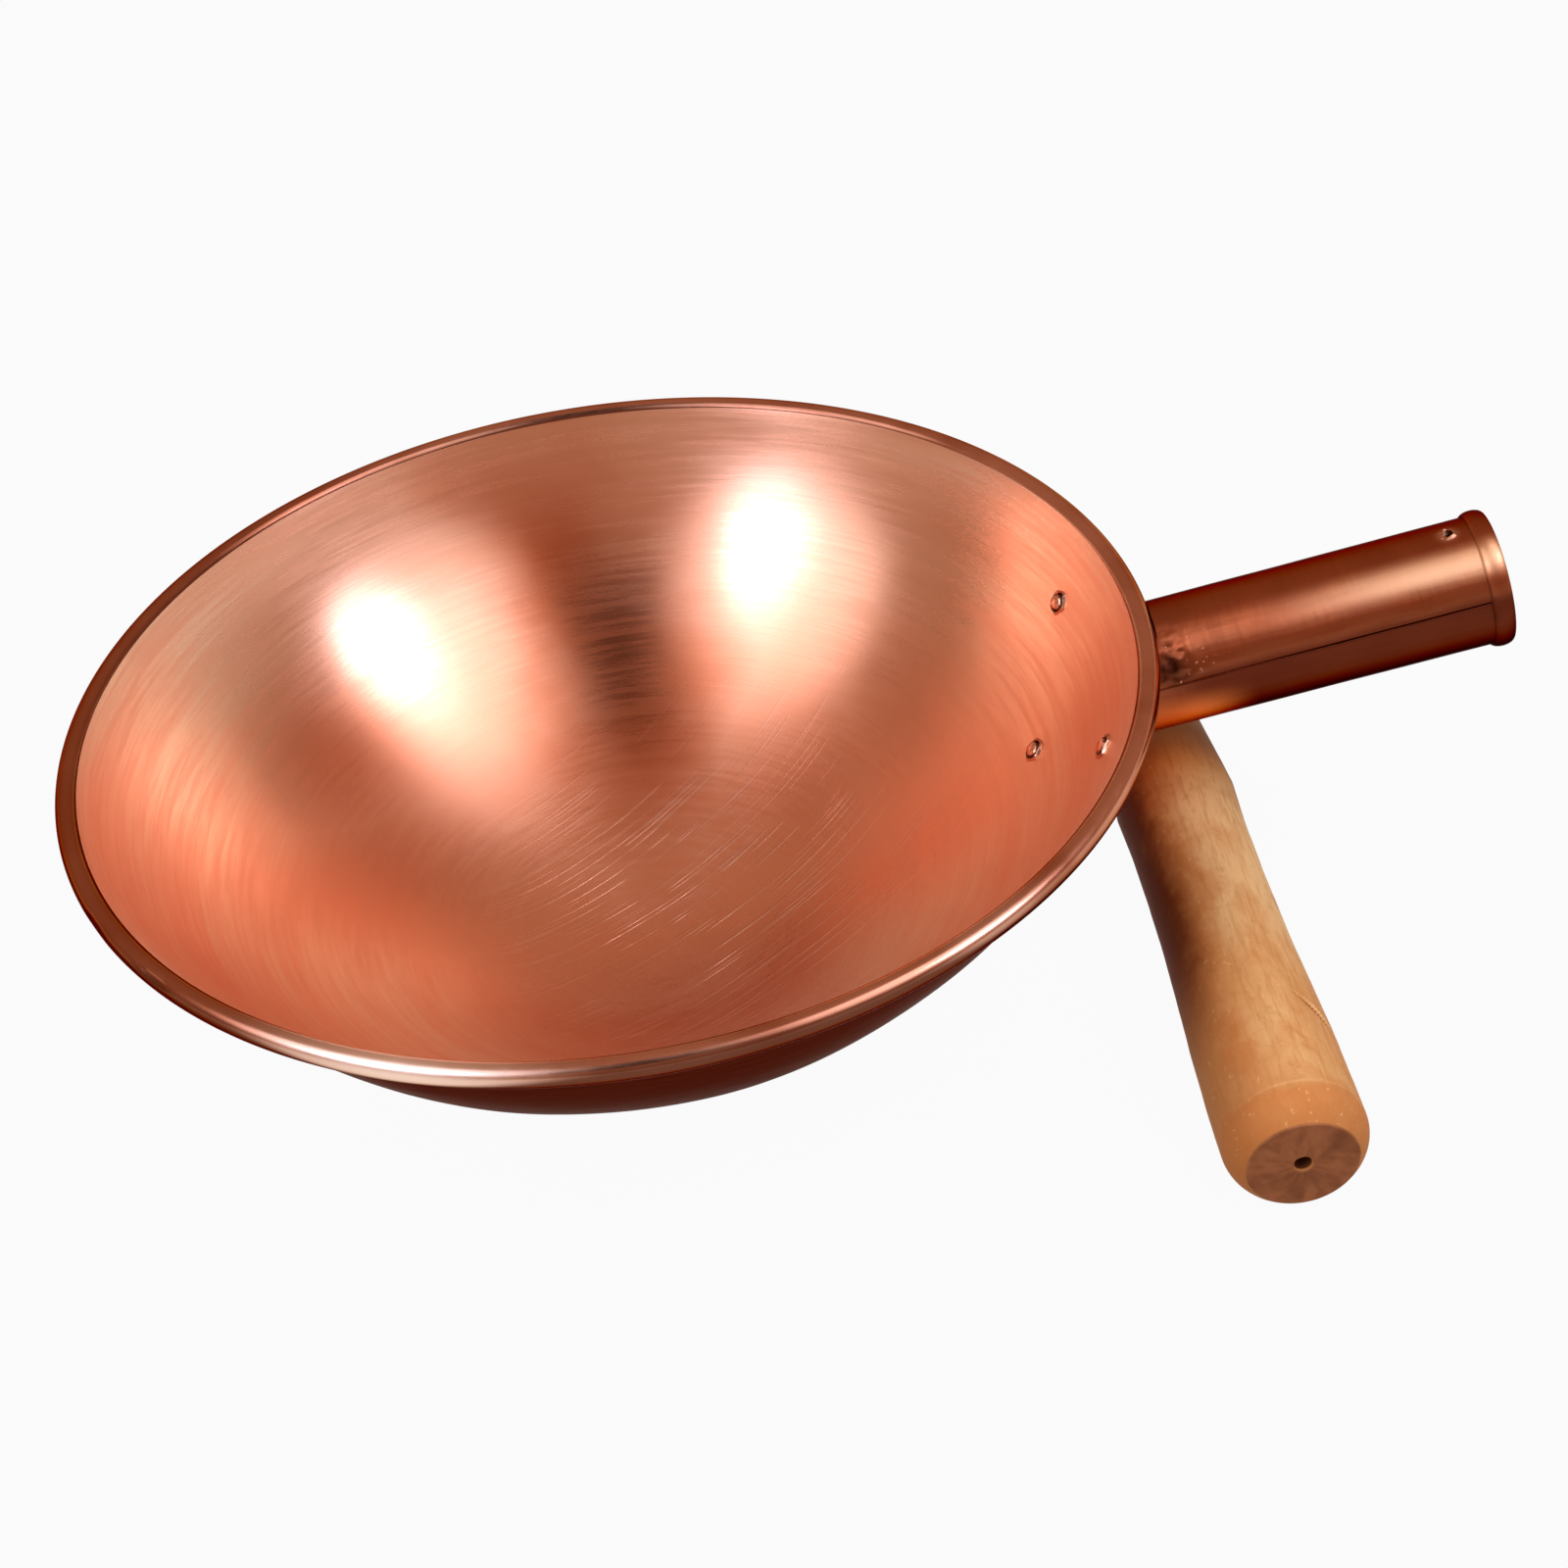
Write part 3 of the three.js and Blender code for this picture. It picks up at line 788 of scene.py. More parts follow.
def copper_rim():
    shader = Shader("copper_rim", wok, POLISHED_COPPER)
    marks = shader.noise(around_bowl(shader, BEAD_MARKS), detail=3)
    stain = shader.noise(shader.place, BEAD_STAIN, 3)
    left = shader.near(BEAD_HIGHLIGHT_LEFT, BEAD_HIGHLIGHT_LEFT_REACH)
    right = shader.near(BEAD_HIGHLIGHT_RIGHT, BEAD_HIGHLIGHT_RIGHT_REACH)
    painted_highlight = shader.most(left, shader.times(right, 0.2))
    # Painted shade below the bead's top, starting lower at the painted highlights and on the right
    lower = shader.plus(shader.times(painted_highlight, BEAD_HIGHLIGHT_LOWER * MM),
                        shader.reach(shader.x, BEAD_RIGHT, 0, BEAD_RIGHT_LOWER * MM))
    under = shader.reach(shader.plus(shader.z, lower), BEAD_UNDER)
    shader.tint(POLISHED_SHADE, shader.span(stain, 0.35, 0.7))
    # Painted shade on the bead's left side
    shader.tint(SHADED_COPPER, shader.reach(shader.x, BEAD_LEFT, 0, 0.7))
    # Painted highlights where the lamps shine on the bead
    shader.tint(BEAD_HIGHLIGHT_COPPER, shader.times(painted_highlight, 0.95))
    shader.tint(TARNISH, shader.times(under, 0.92))
    roughness = shader.plus(shader.span(marks, 0.3, 0.7, 0.18, 0.25), shader.times(painted_highlight, 0.16))
    return shader.finish(metallic=1.0, roughness=roughness, specular_tint=EDGE_TINT,
                         normal=shader.bump(marks, 0.02))


def copper_outside():
    shader = Shader("copper_outside", wok, OUTSIDE_BROWN)
    marks = shader.noise(around_bowl(shader, OUTSIDE_MARKS), detail=3)
    stain = shader.noise(shader.place, OUTSIDE_STAIN, 4)
    # Painted shade: the outside darkens towards the bottom
    underside_shade = shader.reach(shader.plus(shader.z, shader.times(stain, UNDERSIDE_SHADE_WAVER * MM)), UNDERSIDE_SHADE_HEIGHT)
    shader.tint(OUTSIDE_SHADE, underside_shade)
    shader.tint(TARNISH, shader.span(stain, 0.5, 0.75, 0, 0.5))
    roughness = shader.span(marks, 0.3, 0.7, 0.34, 0.46)
    return shader.finish(metallic=1.0, roughness=roughness, specular_tint=EDGE_TINT,
                         normal=shader.bump(marks, 0.03))


def copper_socket():
    shader = Shader("copper_socket", socket, SOCKET_COPPER)
    drawn = shader.noise(shader.stretch(TUBE_DRAWN), detail=3)
    rubbed = shader.noise(shader.stretch(TUBE_RUBBED), detail=3)
    stain = shader.noise(shader.place, TUBE_STAIN, 4)
    turn = shader.turn()
    from_top = shader.apart(turn)
    upper = shader.times(shader.span(turn, *UPPER_TURN), shader.span(stain, 0.3, 0.6, 0.9, 0.6))
    by_seam = shader.times(shader.span(turn, *BY_SEAM_FROM), shader.span(turn, *BY_SEAM_TO), 0.9)
    lower = shader.times(shader.span(from_top, *LOWER_TURN), shader.reach(shader.z, LOWER_STRETCH))
    # Painted highlight along the socket towards the mouth
    painted_highlight = shader.span(shader.apart(turn, HIGHLIGHT_TURN), *HIGHLIGHT_HALF)
    painted_highlight = shader.times(painted_highlight, shader.reach(shader.z, HIGHLIGHT_STRETCH))
    root = shader.times(shader.span(turn, *ROOT_FROM), shader.span(turn, *ROOT_TO))
    root = shader.times(root, shader.reach(shader.z, ROOT_STRETCH))
    specks = shader.times(shader.span(shader.noise(shader.place, TUBE_SPECKS, 1), 0.7, 0.76), root)
    # Dark spot on the root's crumple
    root_dark = shader.near(ROOT_DARK_SPOT, ROOT_DARK_REACH)
    # Painted reflection of the wooden handle on the root's underside
    wood_reflection = shader.times(shader.span(from_top, *WOOD_REFLECTION_TURN), shader.reach(shader.z, WOOD_REFLECTION_STRETCH))
    wood_reflection = shader.times(wood_reflection, shader.reach(shader.radius(), ON_TUBE))
    shader.tint(SOCKET_SHADE, shader.span(stain, 0.35, 0.65))
    shader.tint(SOCKET_SHADE, shader.span(rubbed, 0.4, 0.65, 0, 0.5))
    # Painted shade: darker towards the root, on the top and beside the seam
    shader.tint(SHADED_COPPER, shader.reach(shader.z, ROOT_SHADE_STRETCH, 0, 0.45))
    shader.tint(SHADED_COPPER, shader.most(upper, by_seam))
    # Painted highlight along the socket
    shader.tint(SOCKET_HIGHLIGHT, shader.times(painted_highlight, 0.65))
    # Painted shade on the lower side
    shader.tint(SOCKET_UNDER_SHADE, lower)
    # Painted reflection of the wooden handle
    shader.tint(WOOD_REFLECTION_ORANGE, wood_reflection)
    shader.tint(COPPER, shader.times(shader.near(nail_place, NAIL_BRIGHT_REACH), 0.7))
    # Dark spot on the root's crumple
    shader.tint(ROOT_DARK_COPPER, shader.times(root_dark, 0.85))
    shader.tint(COPPER, specks)
    roughness = shader.span(drawn, 0.3, 0.7, 0.33, 0.41)
    roughness = shader.plus(roughness, shader.span(stain, 0.3, 0.7, -0.05, 0.08))
    height = shader.plus(drawn, shader.times(rubbed, 1.6))
    height = shader.plus(height, shader.times(specks, 6), shader.times(stain, root, 5))
    normal = shader.add("NewGeometry").outputs["Normal"]
    around = shader.vector("CROSS_PRODUCT", normal, tuple(socket.col[2][:3]))
    return shader.finish(metallic=1.0, roughness=roughness, anisotropic=0.75, anisotropic_rotation=0.25,
                         tangent=around, specular_tint=SOCKET_EDGE, normal=shader.bump(height, 0.03))


def copper_rivet(where):
    shader = Shader("copper_rivet", where, DEEP_COPPER)
    dints = shader.noise(shader.place, RIVET_DINTS, 3)
    radius = shader.radius()
    moat = shader.times(shader.reach(radius, MOAT_FROM), shader.reach(radius, MOAT_TO))
    moat = shader.times(moat, shader.reach(shader.z, MOAT_INSIDE))
    shader.tint(POLISHED_COPPER, shader.span(dints, 0.35, 0.65))
    shader.tint(TARNISH, shader.times(moat, 0.92))
    return shader.finish(metallic=1.0, roughness=0.24, normal=shader.bump(dints, 0.08))


def steel_wire():
    shader = Shader("steel_wire", wok, STEEL)
    drawn = shader.noise(shader.place, WIRE_GRAIN, 3)
    shader.tint(TARNISH, shader.span(drawn, 0.3, 0.7))
    return shader.finish(metallic=1.0, roughness=0.45, normal=shader.bump(drawn, 0.02))


def tint_dent(shader):
    """Painted shade in the dent's groove and a painted highlight on its crest."""
    down_dent = shader.times(shader.plus(shader.turn(), -DENT_ANGLE), -DENT_SLANT * MM)
    from_dent = shader.plus(shader.z, -DENT_FROM_BUTT * MM, down_dent)
    dented = shader.times(shader.near(DENT_PLACE, DENT_TINT_REACH), 0.9)
    groove = shader.reach(shader.apart(from_dent), GROOVE_TINT)
    crest = shader.reach(shader.apart(from_dent, CREST_FROM_DENT * MM), CREST_TINT)
    shader.tint(SHADE_BROWN, shader.times(groove, dented))
    shader.tint(PALE_WOOD_AND_PAINTED_LIGHT, shader.times(crest, dented))


def tint_butt(shader):
    """End grain of the butt, and painted shade in its hole."""
    radius = shader.radius()
    across = shader.join(shader.times(shader.turn(), RAYS_TO_DEGREE), shader.times(radius, RAYS_TO_METRE))
    rays = shader.noise(across, detail=4)
    blotch = shader.noise(shader.place, END_BLOTCH, 4)
    end_grain = shader.mix(shader.span(rays, 0.4, 0.65, 0, 0.35), END_GRAIN, END_GRAIN_DARK)
    end_grain = shader.mix(shader.span(blotch, 0.46, 0.62, 0, 0.4), end_grain, END_GRAIN_DARK)
    shader.colour = shader.mix(shader.reach(shader.z, END_DEPTH), end_grain, shader.colour)
    # Painted shade inside the butt's hole
    hole = shader.reach(radius, (BUTT_HOLE_RADIUS + BUTT_HOLE_BEVEL, BUTT_HOLE_RADIUS))
    hole = shader.times(hole, shader.reach(shader.z, HOLE_TO), shader.reach(shader.z, HOLE_FROM))
    shader.tint(END_GRAIN_DARK, hole)


def turned_wood():
    shader = Shader("turned_wood", handle, HONEY)
    grain = shader.noise(shader.stretch(WOOD_GRAIN), detail=3, distortion=0.4)
    mottle = shader.noise(shader.place, WOOD_MOTTLE, 5, 0.65)
    patches = shader.noise(shader.stretch(WOOD_PATCHES), detail=4, distortion=0.6)
    pores = shader.noise(shader.stretch(WOOD_PORES))
    fibre = shader.noise(shader.stretch(WOOD_FIBRE), detail=4, roughness=0.6, distortion=0.5)
    cloud = shader.noise(shader.stretch(WOOD_CLOUD), detail=3)
    specks = shader.noise(shader.stretch(WOOD_SPECKS))
    shader.tint(HONEY_DARK, shader.span(grain, 0.35, 0.65, 0, 0.3))
    shader.tint(HONEY_PALE, shader.span(cloud, 0.4, 0.65, 0, 0.6))
    # Painted light: the middle of the handle is paler, as if lit more brightly
    middle = shader.times(shader.reach(shader.z, PAINTED_LIGHT_FROM), shader.reach(shader.z, PAINTED_LIGHT_TO))
    shader.tint(PALE_WOOD_AND_PAINTED_LIGHT, shader.times(middle, 0.85))
    shader.tint(HONEY_DARK, shader.span(fibre, 0.48, 0.66, 0, 0.35))
    shader.tint(ROUND_ORANGE, shader.span(patches, 0.5, 0.66, 0, 0.35))
    shader.tint(HONEY_DARK, shader.span(mottle, 0.56, 0.7, 0, 0.35))
    shader.tint(HONEY_DARK, shader.span(pores, 0.64, 0.76, 0, 0.4))
    for spot in SMUDGES:
        smudge = shader.times(shader.near(spot, SMUDGE_REACH), shader.span(mottle, 0.4, 0.55))
        shader.tint(ROUND_ORANGE, shader.times(smudge, 0.7))
    from_butt = shader.plus(shader.z, shader.times(patches, ROUNDING_WAVER * MM))
    shader.tint(ROUND_ORANGE, shader.reach(from_butt, ROUNDING_LENGTH, 0, 0.75))
    ring = shader.reach(shader.apart(shader.z, RING_FROM_BUTT * MM), (RING_HALF, 0))
    shader.tint(HONEY_PALE, shader.times(ring, shader.span(cloud, 0.45, 0.6), 0.5))
    # Painted shade along the handle's left side, orange at its edge
    waver = shader.plus(shader.times(mottle, MOTTLE_WAVER * MM), shader.times(patches, PATCH_WAVER * MM))
    aside = shader.plus(shader.x, waver)
    shade_edge = shader.times(shader.reach(aside, SHADE_EDGE_SIDE), shader.reach(shader.z, SHADE_EDGE_LENGTH, 0.6, 0.9))
    shader.tint(ROUND_ORANGE, shade_edge)
    shader.tint(PALE_WOOD_AND_PAINTED_LIGHT, shader.span(specks, 0.66, 0.74, 0, 0.5))
    shader.tint(ROUND_ORANGE, shader.span(specks, 0.34, 0.26, 0, 0.35))
    # Painted shade along the handle's left side, dark brown
    shaded = shader.times(shader.reach(aside, SHADED_SIDE), shader.reach(shader.z, SHADED_LENGTH, 0.1, 0.92))
    shader.tint(SHADE_BROWN, shaded)
    # Painted shade on the wood next to the socket
    shader.tint(PLUG_SHADE_BROWN, shader.reach(shader.z, PLUG_SHADE, 0, 0.85))
    tint_dent(shader)
    tint_butt(shader)
    height = shader.plus(grain, shader.times(fibre, 0.8))
    height = shader.plus(height, shader.times(pores, 0.6), shader.times(mottle, 0.5))
    return shader.finish(roughness=0.6, specular_ior_level=0.06, normal=shader.bump(height, 0.07))


# Rivets: a place on the outside of the bowl, with +Z out of the wall
def rivet_out(drop, sideways):
    height = -drop - bowl_centre[2]
    around = math.sqrt(bowl_radius ** 2 - height ** 2 - sideways ** 2)
    return np.array([around, sideways, height]) / bowl_radius


rivet_outs = {
    "rivet_far": rivet_out(SIDE_RIVET_DROP, RIVET_SHIFT + SIDE_RIVET_SPREAD),
    "rivet_near": rivet_out(SIDE_RIVET_DROP, RIVET_SHIFT - SIDE_RIVET_SPREAD),
    "rivet_lower": rivet_out(LOWER_RIVET_DROP, RIVET_SHIFT),
}


def rivet(name, out):
    head_seat = SOCKET_SHEET + 2 * FIT_GAP
    inside = -BOWL_SHEET
    nub = [(0, inside - NUB_TOP), (NUB_FLAT, inside - NUB_TOP), (NUB_RADIUS, inside - NUB_TOP + NUB_BEVEL)]
    lip = [(MOAT_RADIUS, inside + MOAT_DEPTH), (LIP_RADIUS - LIP_ROUND, inside - LIP_INNER_HEIGHT),
           (LIP_RADIUS, inside - LIP_HEIGHT), (LIP_RADIUS + LIP_ROUND, inside - LIP_OUTER_HEIGHT),
           (LIP_RADIUS + 2 * LIP_ROUND, inside + FIT_GAP)]
    shank = [(RIVET_SHANK_RADIUS, inside + FIT_GAP), (RIVET_SHANK_RADIUS, head_seat),
             (RIVET_HEAD_RADIUS, head_seat)]
    head = arc((0, head_seat), (RIVET_HEAD_RADIUS, RIVET_HEAD_HEIGHT), RIVET_HEAD_EDGE, 90, HEAD_STEPS)
    outline = np.concatenate([nub, lip, shank, head])
    angles = whole_turn(RIVET_SEGMENTS)
    grid = turned(outline, angles)
    where = bowl_centre + out * bowl_radius
    rough = uneven(grid + where, HAMMER_SIZE)
    facet = 180 / NUB_FACETS
    corner = np.cos(math.radians(facet)) / np.cos(np.radians(angles % (2 * facet) - facet))
    order = np.arange(len(outline))
    hammered = order < len(nub) + len(lip)
    squeeze = 1 + hammered * (FACET_SHARE * (corner[:, None] - FACET_MEAN) + HAMMER_SPREAD * rough)
    grid[..., :2] *= squeeze[..., None]
    lean = (order < len(nub)) * NUB_TILT * grid[..., 0] / NUB_RADIUS
    grid[..., 2] += hammered * (outline[:, 1] < inside) * (HAMMER_HEIGHT * rough + lean)
    across = np.cross(out, (0, 0, 1))
    across /= np.linalg.norm(across)
    stand = wok @ place(Vector(where) * MM, across, np.cross(out, across), out)
    add_piece(name + "_set", grid, stand, name, [copper_rivet(stand)])


# Bowl
def bowl_outline():
    """Radius and height from the middle of the inside, over the rolled rim, to the middle of the outside."""
    top, roll = WALL_SLOPE - 90, WALL_SLOPE + 90
    middle = (0, bowl_centre[2])
    inside = arc(middle, bowl_radius - BOWL_SHEET, -90, top, INSIDE_STEPS)
    over = arc((RIM_RADIUS, 0), ROLL_RADIUS - INSET, roll, roll - RIM_TUCK, BEAD_STEPS)
    under = arc((RIM_RADIUS, 0), wire_space, roll - RIM_TUCK, roll, TUCK_STEPS)
    outside = arc(middle, bowl_radius, top, -90, OUTSIDE_STEPS)
    wall = line(inside[-1], over[0], WALL_STEPS)[1:-1]
    parts = (inside, wall, over, under, outside)
    return np.concatenate(parts), np.cumsum([len(part) for part in parts])


def bowl():
    outline, edges = bowl_outline()
    azimuth = whole_turn(BOWL_SEGMENTS)
    grid = turned(outline, azimuth)
    to_centre = bowl_centre - grid
    out = -to_centre / np.linalg.norm(to_centre, axis=2, keepdims=True)
    polar = np.degrees(np.arccos(-out[..., 2]))
    on_sheet = out * bowl_radius
    lift = SWELL_HEIGHT * uneven(on_sheet, SWELL_SIZE) + RIPPLE_HEIGHT * uneven(on_sheet, RIPPLE_SIZE)
    standing = smooth_step(STANDING_POLAR, STANDING_POLAR / 2, polar)
    lift *= (1 - standing) * smooth_step(WALL_SLOPE, WALL_SLOPE - RIM_FADE, polar)
    lift -= STANDING_INSET * standing
    for rivet_way in rivet_outs.values():
        away = np.linalg.norm(on_sheet - rivet_way * bowl_radius, axis=2)
        lift += DIMPLE_DEPTH * hump(away, 0, DIMPLE_REACH)
    grid += out * lift[..., None]
    bead = slice(edges[1], edges[2])
    from_ring = grid[:, bead] - turned(np.array([(RIM_RADIUS, 0)]), azimuth)
    round_bead = np.degrees(np.arctan2(outline[bead, 1], outline[bead, 0] - RIM_RADIUS))
    for nick in NICKS:
        turn = (azimuth[:, None] - nick["azimuth"] + 180) % 360 - 180
        sink = np.exp(-(turn / nick["half"]) ** 4) * hump(round_bead, nick["round_bead"], nick["width"])
        grid[:, bead] -= from_ring / ROLL_RADIUS * nick["depth"] * sink[..., None]

    def material_of(j):
        if j < edges[1]:
            return 0
        return 1 if j < edges[2] else 2

    materials = [copper_inside(), copper_rim(), copper_outside()]
    add_piece("bowl_spun", grid, wok, "bowl", materials, material_of)


# Socket
def socket_stop(angle, radius):
    """Where a line down the socket, at an angle and a radius, meets the bowl or its rim."""
    turn = np.radians(angle)
    side = np.cos(turn)[..., None] * socket_up + np.sin(turn)[..., None] * socket_far
    base = socket_start + np.asarray(radius)[..., None] * side
    from_centre = base - bowl_centre
    forward = from_centre @ socket_along
    apart = (from_centre ** 2).sum(-1) - (bowl_radius + FIT_GAP) ** 2
    wall = -forward + np.sqrt(forward ** 2 - apart)
    along = np.linspace(STOP_NEAR, STOP_FAR, STOP_STEPS)
    points = base[..., None, :] + along[:, None] * socket_along
    from_ring = np.hypot(points[..., 0], points[..., 1]) - RIM_RADIUS
    blocked = np.hypot(from_ring, points[..., 2]) < ROLL_RADIUS + FIT_GAP
    rim = np.where(blocked, along, -np.inf).max(-1)
    return np.maximum(wall, rim)


def tongue_edge(angle):
    """Radius of the root's edge at each angle: the socket itself, or a round-ended tongue about a rivet."""
    edge = np.full(len(angle), SOCKET_RADIUS)
    for out in rivet_outs.values():
        seat = bowl_centre + out * bowl_radius - socket_start
        far, up = seat @ socket_far, seat @ socket_up
        reach = math.hypot(far, up)
        turn = np.radians(angle) - math.atan2(far, up)
        turn = np.abs((turn + np.pi) % (2 * np.pi) - np.pi)
        end = turn < math.atan2(TONGUE_HALF, reach)
        cap = reach * np.cos(turn) + np.sqrt(np.maximum(TONGUE_HALF ** 2 - (reach * np.sin(turn)) ** 2, 0))
        side = TONGUE_HALF / np.maximum(np.sin(turn), np.finfo(float).eps)
        ahead = turn < np.pi / 2
        edge = np.maximum(edge, np.where(end, cap, np.where(ahead, side, 0)))
    return edge


def socket_angles():
    """Angles round the socket, closer at the seam, at the nail hole and at the root's wrinkles."""
    seam = SEAM_ANGLE + np.arange(-SEAM_ZONE, SEAM_ZONE + SEAM_FINE_STEP / 2, SEAM_FINE_STEP)
    nail = np.arange(-NAIL_ZONE, NAIL_ZONE + NAIL_FINE_STEP / 2, NAIL_FINE_STEP)
    wrinkles = np.arange(*WRINKLE_ZONE, WRINKLE_FINE_STEP)
    angles = np.concatenate([np.arange(-180, 180, SOCKET_STEP), seam, nail, wrinkles])
    return np.unique(np.round(angles, 3))


def socket_shares():
    """Shares of the way from the root to the hem, closer at the root's wrinkles and at the nail hole."""
    even = np.linspace(0, 1, SOCKET_ROWS)[1:]
    shares = [even, np.linspace(*WRINKLE_SHARE, WRINKLE_ROWS), np.linspace(*NAIL_SHARE, NAIL_ROWS)]
    return np.unique(np.concatenate(shares))[::-1]


def tongue_outline(angle, edge, steps):
    """Outside of the root from the socket round the bend and over the bowl to the edge: along and radius."""
    turn = np.radians(angle)
    side = math.cos(turn) * socket_up + math.sin(turn) * socket_far
    to_centre = bowl_centre - socket_start
    along, aside = to_centre @ socket_along, to_centre @ side
    off_plane = to_centre @ to_centre - along ** 2 - aside ** 2
    outer = math.sqrt((bowl_radius + FIT_GAP + SOCKET_SHEET) ** 2 - off_plane)
    bend_out = SOCKET_RADIUS + TONGUE_BEND
    bend_along = along + math.sqrt((outer + TONGUE_BEND) ** 2 - (bend_out - aside) ** 2)
    wall_from = math.atan2(bend_out - aside, bend_along - along)
    whole = math.pi / 2 - wall_from
    part = min(whole, math.acos(max(-1, min(1, (bend_out - edge) / TONGUE_BEND))))
    bend = np.linspace(0, part, steps + 1)
    points = [(bend_along - TONGUE_BEND * math.sin(at), bend_out - TONGUE_BEND * math.cos(at)) for at in bend]
    wall_to = max(wall_from, math.asin(min(1, (edge - aside) / outer)))
    if part < whole:
        wall = [points[-1]] * steps
    else:
        wall = [(along + outer * math.cos(at), aside + outer * math.sin(at))
                for at in np.linspace(wall_from, wall_to, steps + 1)[1:]]
    return np.array(points + wall)


def socket_unevenness(angle, along):
    """Height of the outside above a true tube at angles and distances along it."""
    from_seam = np.radians(angle - SEAM_ANGLE) * SOCKET_RADIUS
    seam = -SEAM_GROOVE * hump(from_seam, 0, SEAM_HALF) * smooth_step(0, SOCKET_REACH, along + SEAM_ROOT_FADE)
    step = -SEAM_STEP * (from_seam < 0) * smooth_step(-SEAM_STEP_FADE, 0, angle - SEAM_ANGLE)
    crumple = hump(along, WRINKLE_ALONG, WRINKLE_LENGTH) * hump(angle, WRINKLE_ANGLE, WRINKLE_SPREAD)
    round_tube = np.radians(angle) * SOCKET_RADIUS
    places = np.stack([round_tube, along, 0 * along], -1)
    wrinkle = WRINKLE_HEIGHT * crumple * (uneven(places, WRINKLE_SIZE) - WRINKLE_SINK)
    slack = SLACK_HEIGHT * uneven(places, SLACK_SIZE)
    from_nail = np.hypot(round_tube, along - nail_place[2])
    burr = BURR_HEIGHT * hump(from_nail, NAIL_HOLE_RADIUS + BURR_FROM_HOLE, BURR_HALF)
    burr *= BURR_MEAN + BURR_RANGE * uneven(places, BURR_SIZE)
    return seam + step + wrinkle + slack + burr


def socket_column(angle, edge, shares):
    """Closed outline of the socket at one angle, as along and radius."""
    hem_half = ((SOCKET_RADIUS + HEM_PROUD - INSET - bore_radius) / 2, HEM_WIDTH / 2)
    hem_middle = SOCKET_REACH - INSET - HEM_WIDTH / 2
    hem = arc((bore_radius + hem_half[0], hem_middle), hem_half, 180, 180 - HEM_TURN, HEM_STEPS)[:, ::-1]
    slot = np.array([(hem_middle, hem[-1, 1] - HEM_SLOT), (hem_middle, SOCKET_RADIUS)])
    root = tongue_outline(angle, edge, ROOT_STEPS)
    foot = max(root[0, 0], socket_stop(np.array([angle]), SOCKET_RADIUS)[0])
    root[:, 0] = np.maximum(root[:, 0], socket_stop(np.full(len(root), angle), root[:, 1]))
    outside_along = foot + (hem[-1, 0] - foot) * shares
    outside = np.stack([outside_along, np.full(len(shares), SOCKET_RADIUS)], 1)
    back_radius = np.linspace(edge, bore_radius, BACK_POINTS)
    back = np.stack([socket_stop(np.full(BACK_POINTS, angle), back_radius), back_radius], 1)
    bore = line((back[-1, 0], bore_radius), (hem_middle, bore_radius), BORE_STEPS)[1:-1]
    outside_from = len(hem) + len(slot)
    outline = np.concatenate([hem, slot, outside, root, back, bore])
    return outline, slice(outside_from, outside_from + len(outside) + len(root))


def handle_socket():
    angles = socket_angles()
    edges = tongue_edge(angles)
    shares = socket_shares()
    columns = [socket_column(angle, edge, shares) for angle, edge in zip(angles, edges)]
    outline = np.array([column for column, _ in columns])
    outside = columns[0][1]
    angle = np.broadcast_to(angles[:, None], outline.shape[:2])
    outline[:, outside, 1] += socket_unevenness(angle[:, outside], outline[:, outside, 0])
    turn = np.radians(angle)
    grid = np.stack([outline[..., 1] * np.sin(turn), outline[..., 1] * np.cos(turn), outline[..., 0]], 2)
    piece = add_piece("socket_rolled", grid, socket, "handle_socket", [copper_socket()],
                      close_outline=True)
    drill(piece, socket, nail_place, (0, 1, 0), NAIL_HOLE_RADIUS, 4 * SOCKET_SHEET)


# Wooden handle
def handle_outline():
    """Radius and distance from the butt, from the bottom of its hole to the middle of the plug's end."""
    edge = 90 - BUTT_EDGE
    plug_end = SOCKET_RADIUS - PLUG_LENGTH * math.tan(math.radians(PLUG_TAPER))
    length = GRIP_LENGTH + PLUG_LENGTH
    round_width = (GRIP_RADIUS - BUTT_RADIUS) / (1 - math.cos(math.radians(edge)))
    round_size = (round_width, BUTT_ROUND / math.sin(math.radians(edge)))
    swell_end = (BUTT_ROUND + WAIST_FROM_BUTT) / 2
    flare = (WAIST_FROM_BUTT + GRIP_LENGTH) / 2
    hole_end = BUTT_HOLE_DEPTH - BUTT_HOLE_RADIUS
    hole = [(0, BUTT_HOLE_DEPTH), (BUTT_HOLE_RADIUS, hole_end)]
    bore = line((BUTT_HOLE_RADIUS, hole_end), (BUTT_HOLE_RADIUS, BUTT_HOLE_BEVEL), HOLE_STEPS)[1:]
    butt = line((BUTT_HOLE_RADIUS + BUTT_HOLE_BEVEL, 0), (BUTT_RADIUS, 0), BUTT_STEPS)
    rounding = arc((GRIP_RADIUS - round_width, BUTT_ROUND), round_size, -edge, 0, ROUNDING_STEPS)[1:]
    swell = bezier((GRIP_RADIUS, BUTT_ROUND), (GRIP_RADIUS, swell_end), (WAIST_RADIUS, swell_end),
                   (WAIST_RADIUS, WAIST_FROM_BUTT), SWELL_STEPS)[1:]
    neck = bezier((WAIST_RADIUS, WAIST_FROM_BUTT), (WAIST_RADIUS, flare), (WAIST_RADIUS, flare),
                  (SOCKET_RADIUS, GRIP_LENGTH), NECK_STEPS)[1:]
    plug = line((SOCKET_RADIUS, GRIP_LENGTH), (plug_end, length - PLUG_BEVEL), PLUG_STEPS)[1:]
    tip = [(plug_end - PLUG_BEVEL, length), (0, length)]
    return np.concatenate([hole, bore, butt, rounding, swell, neck, plug, tip])


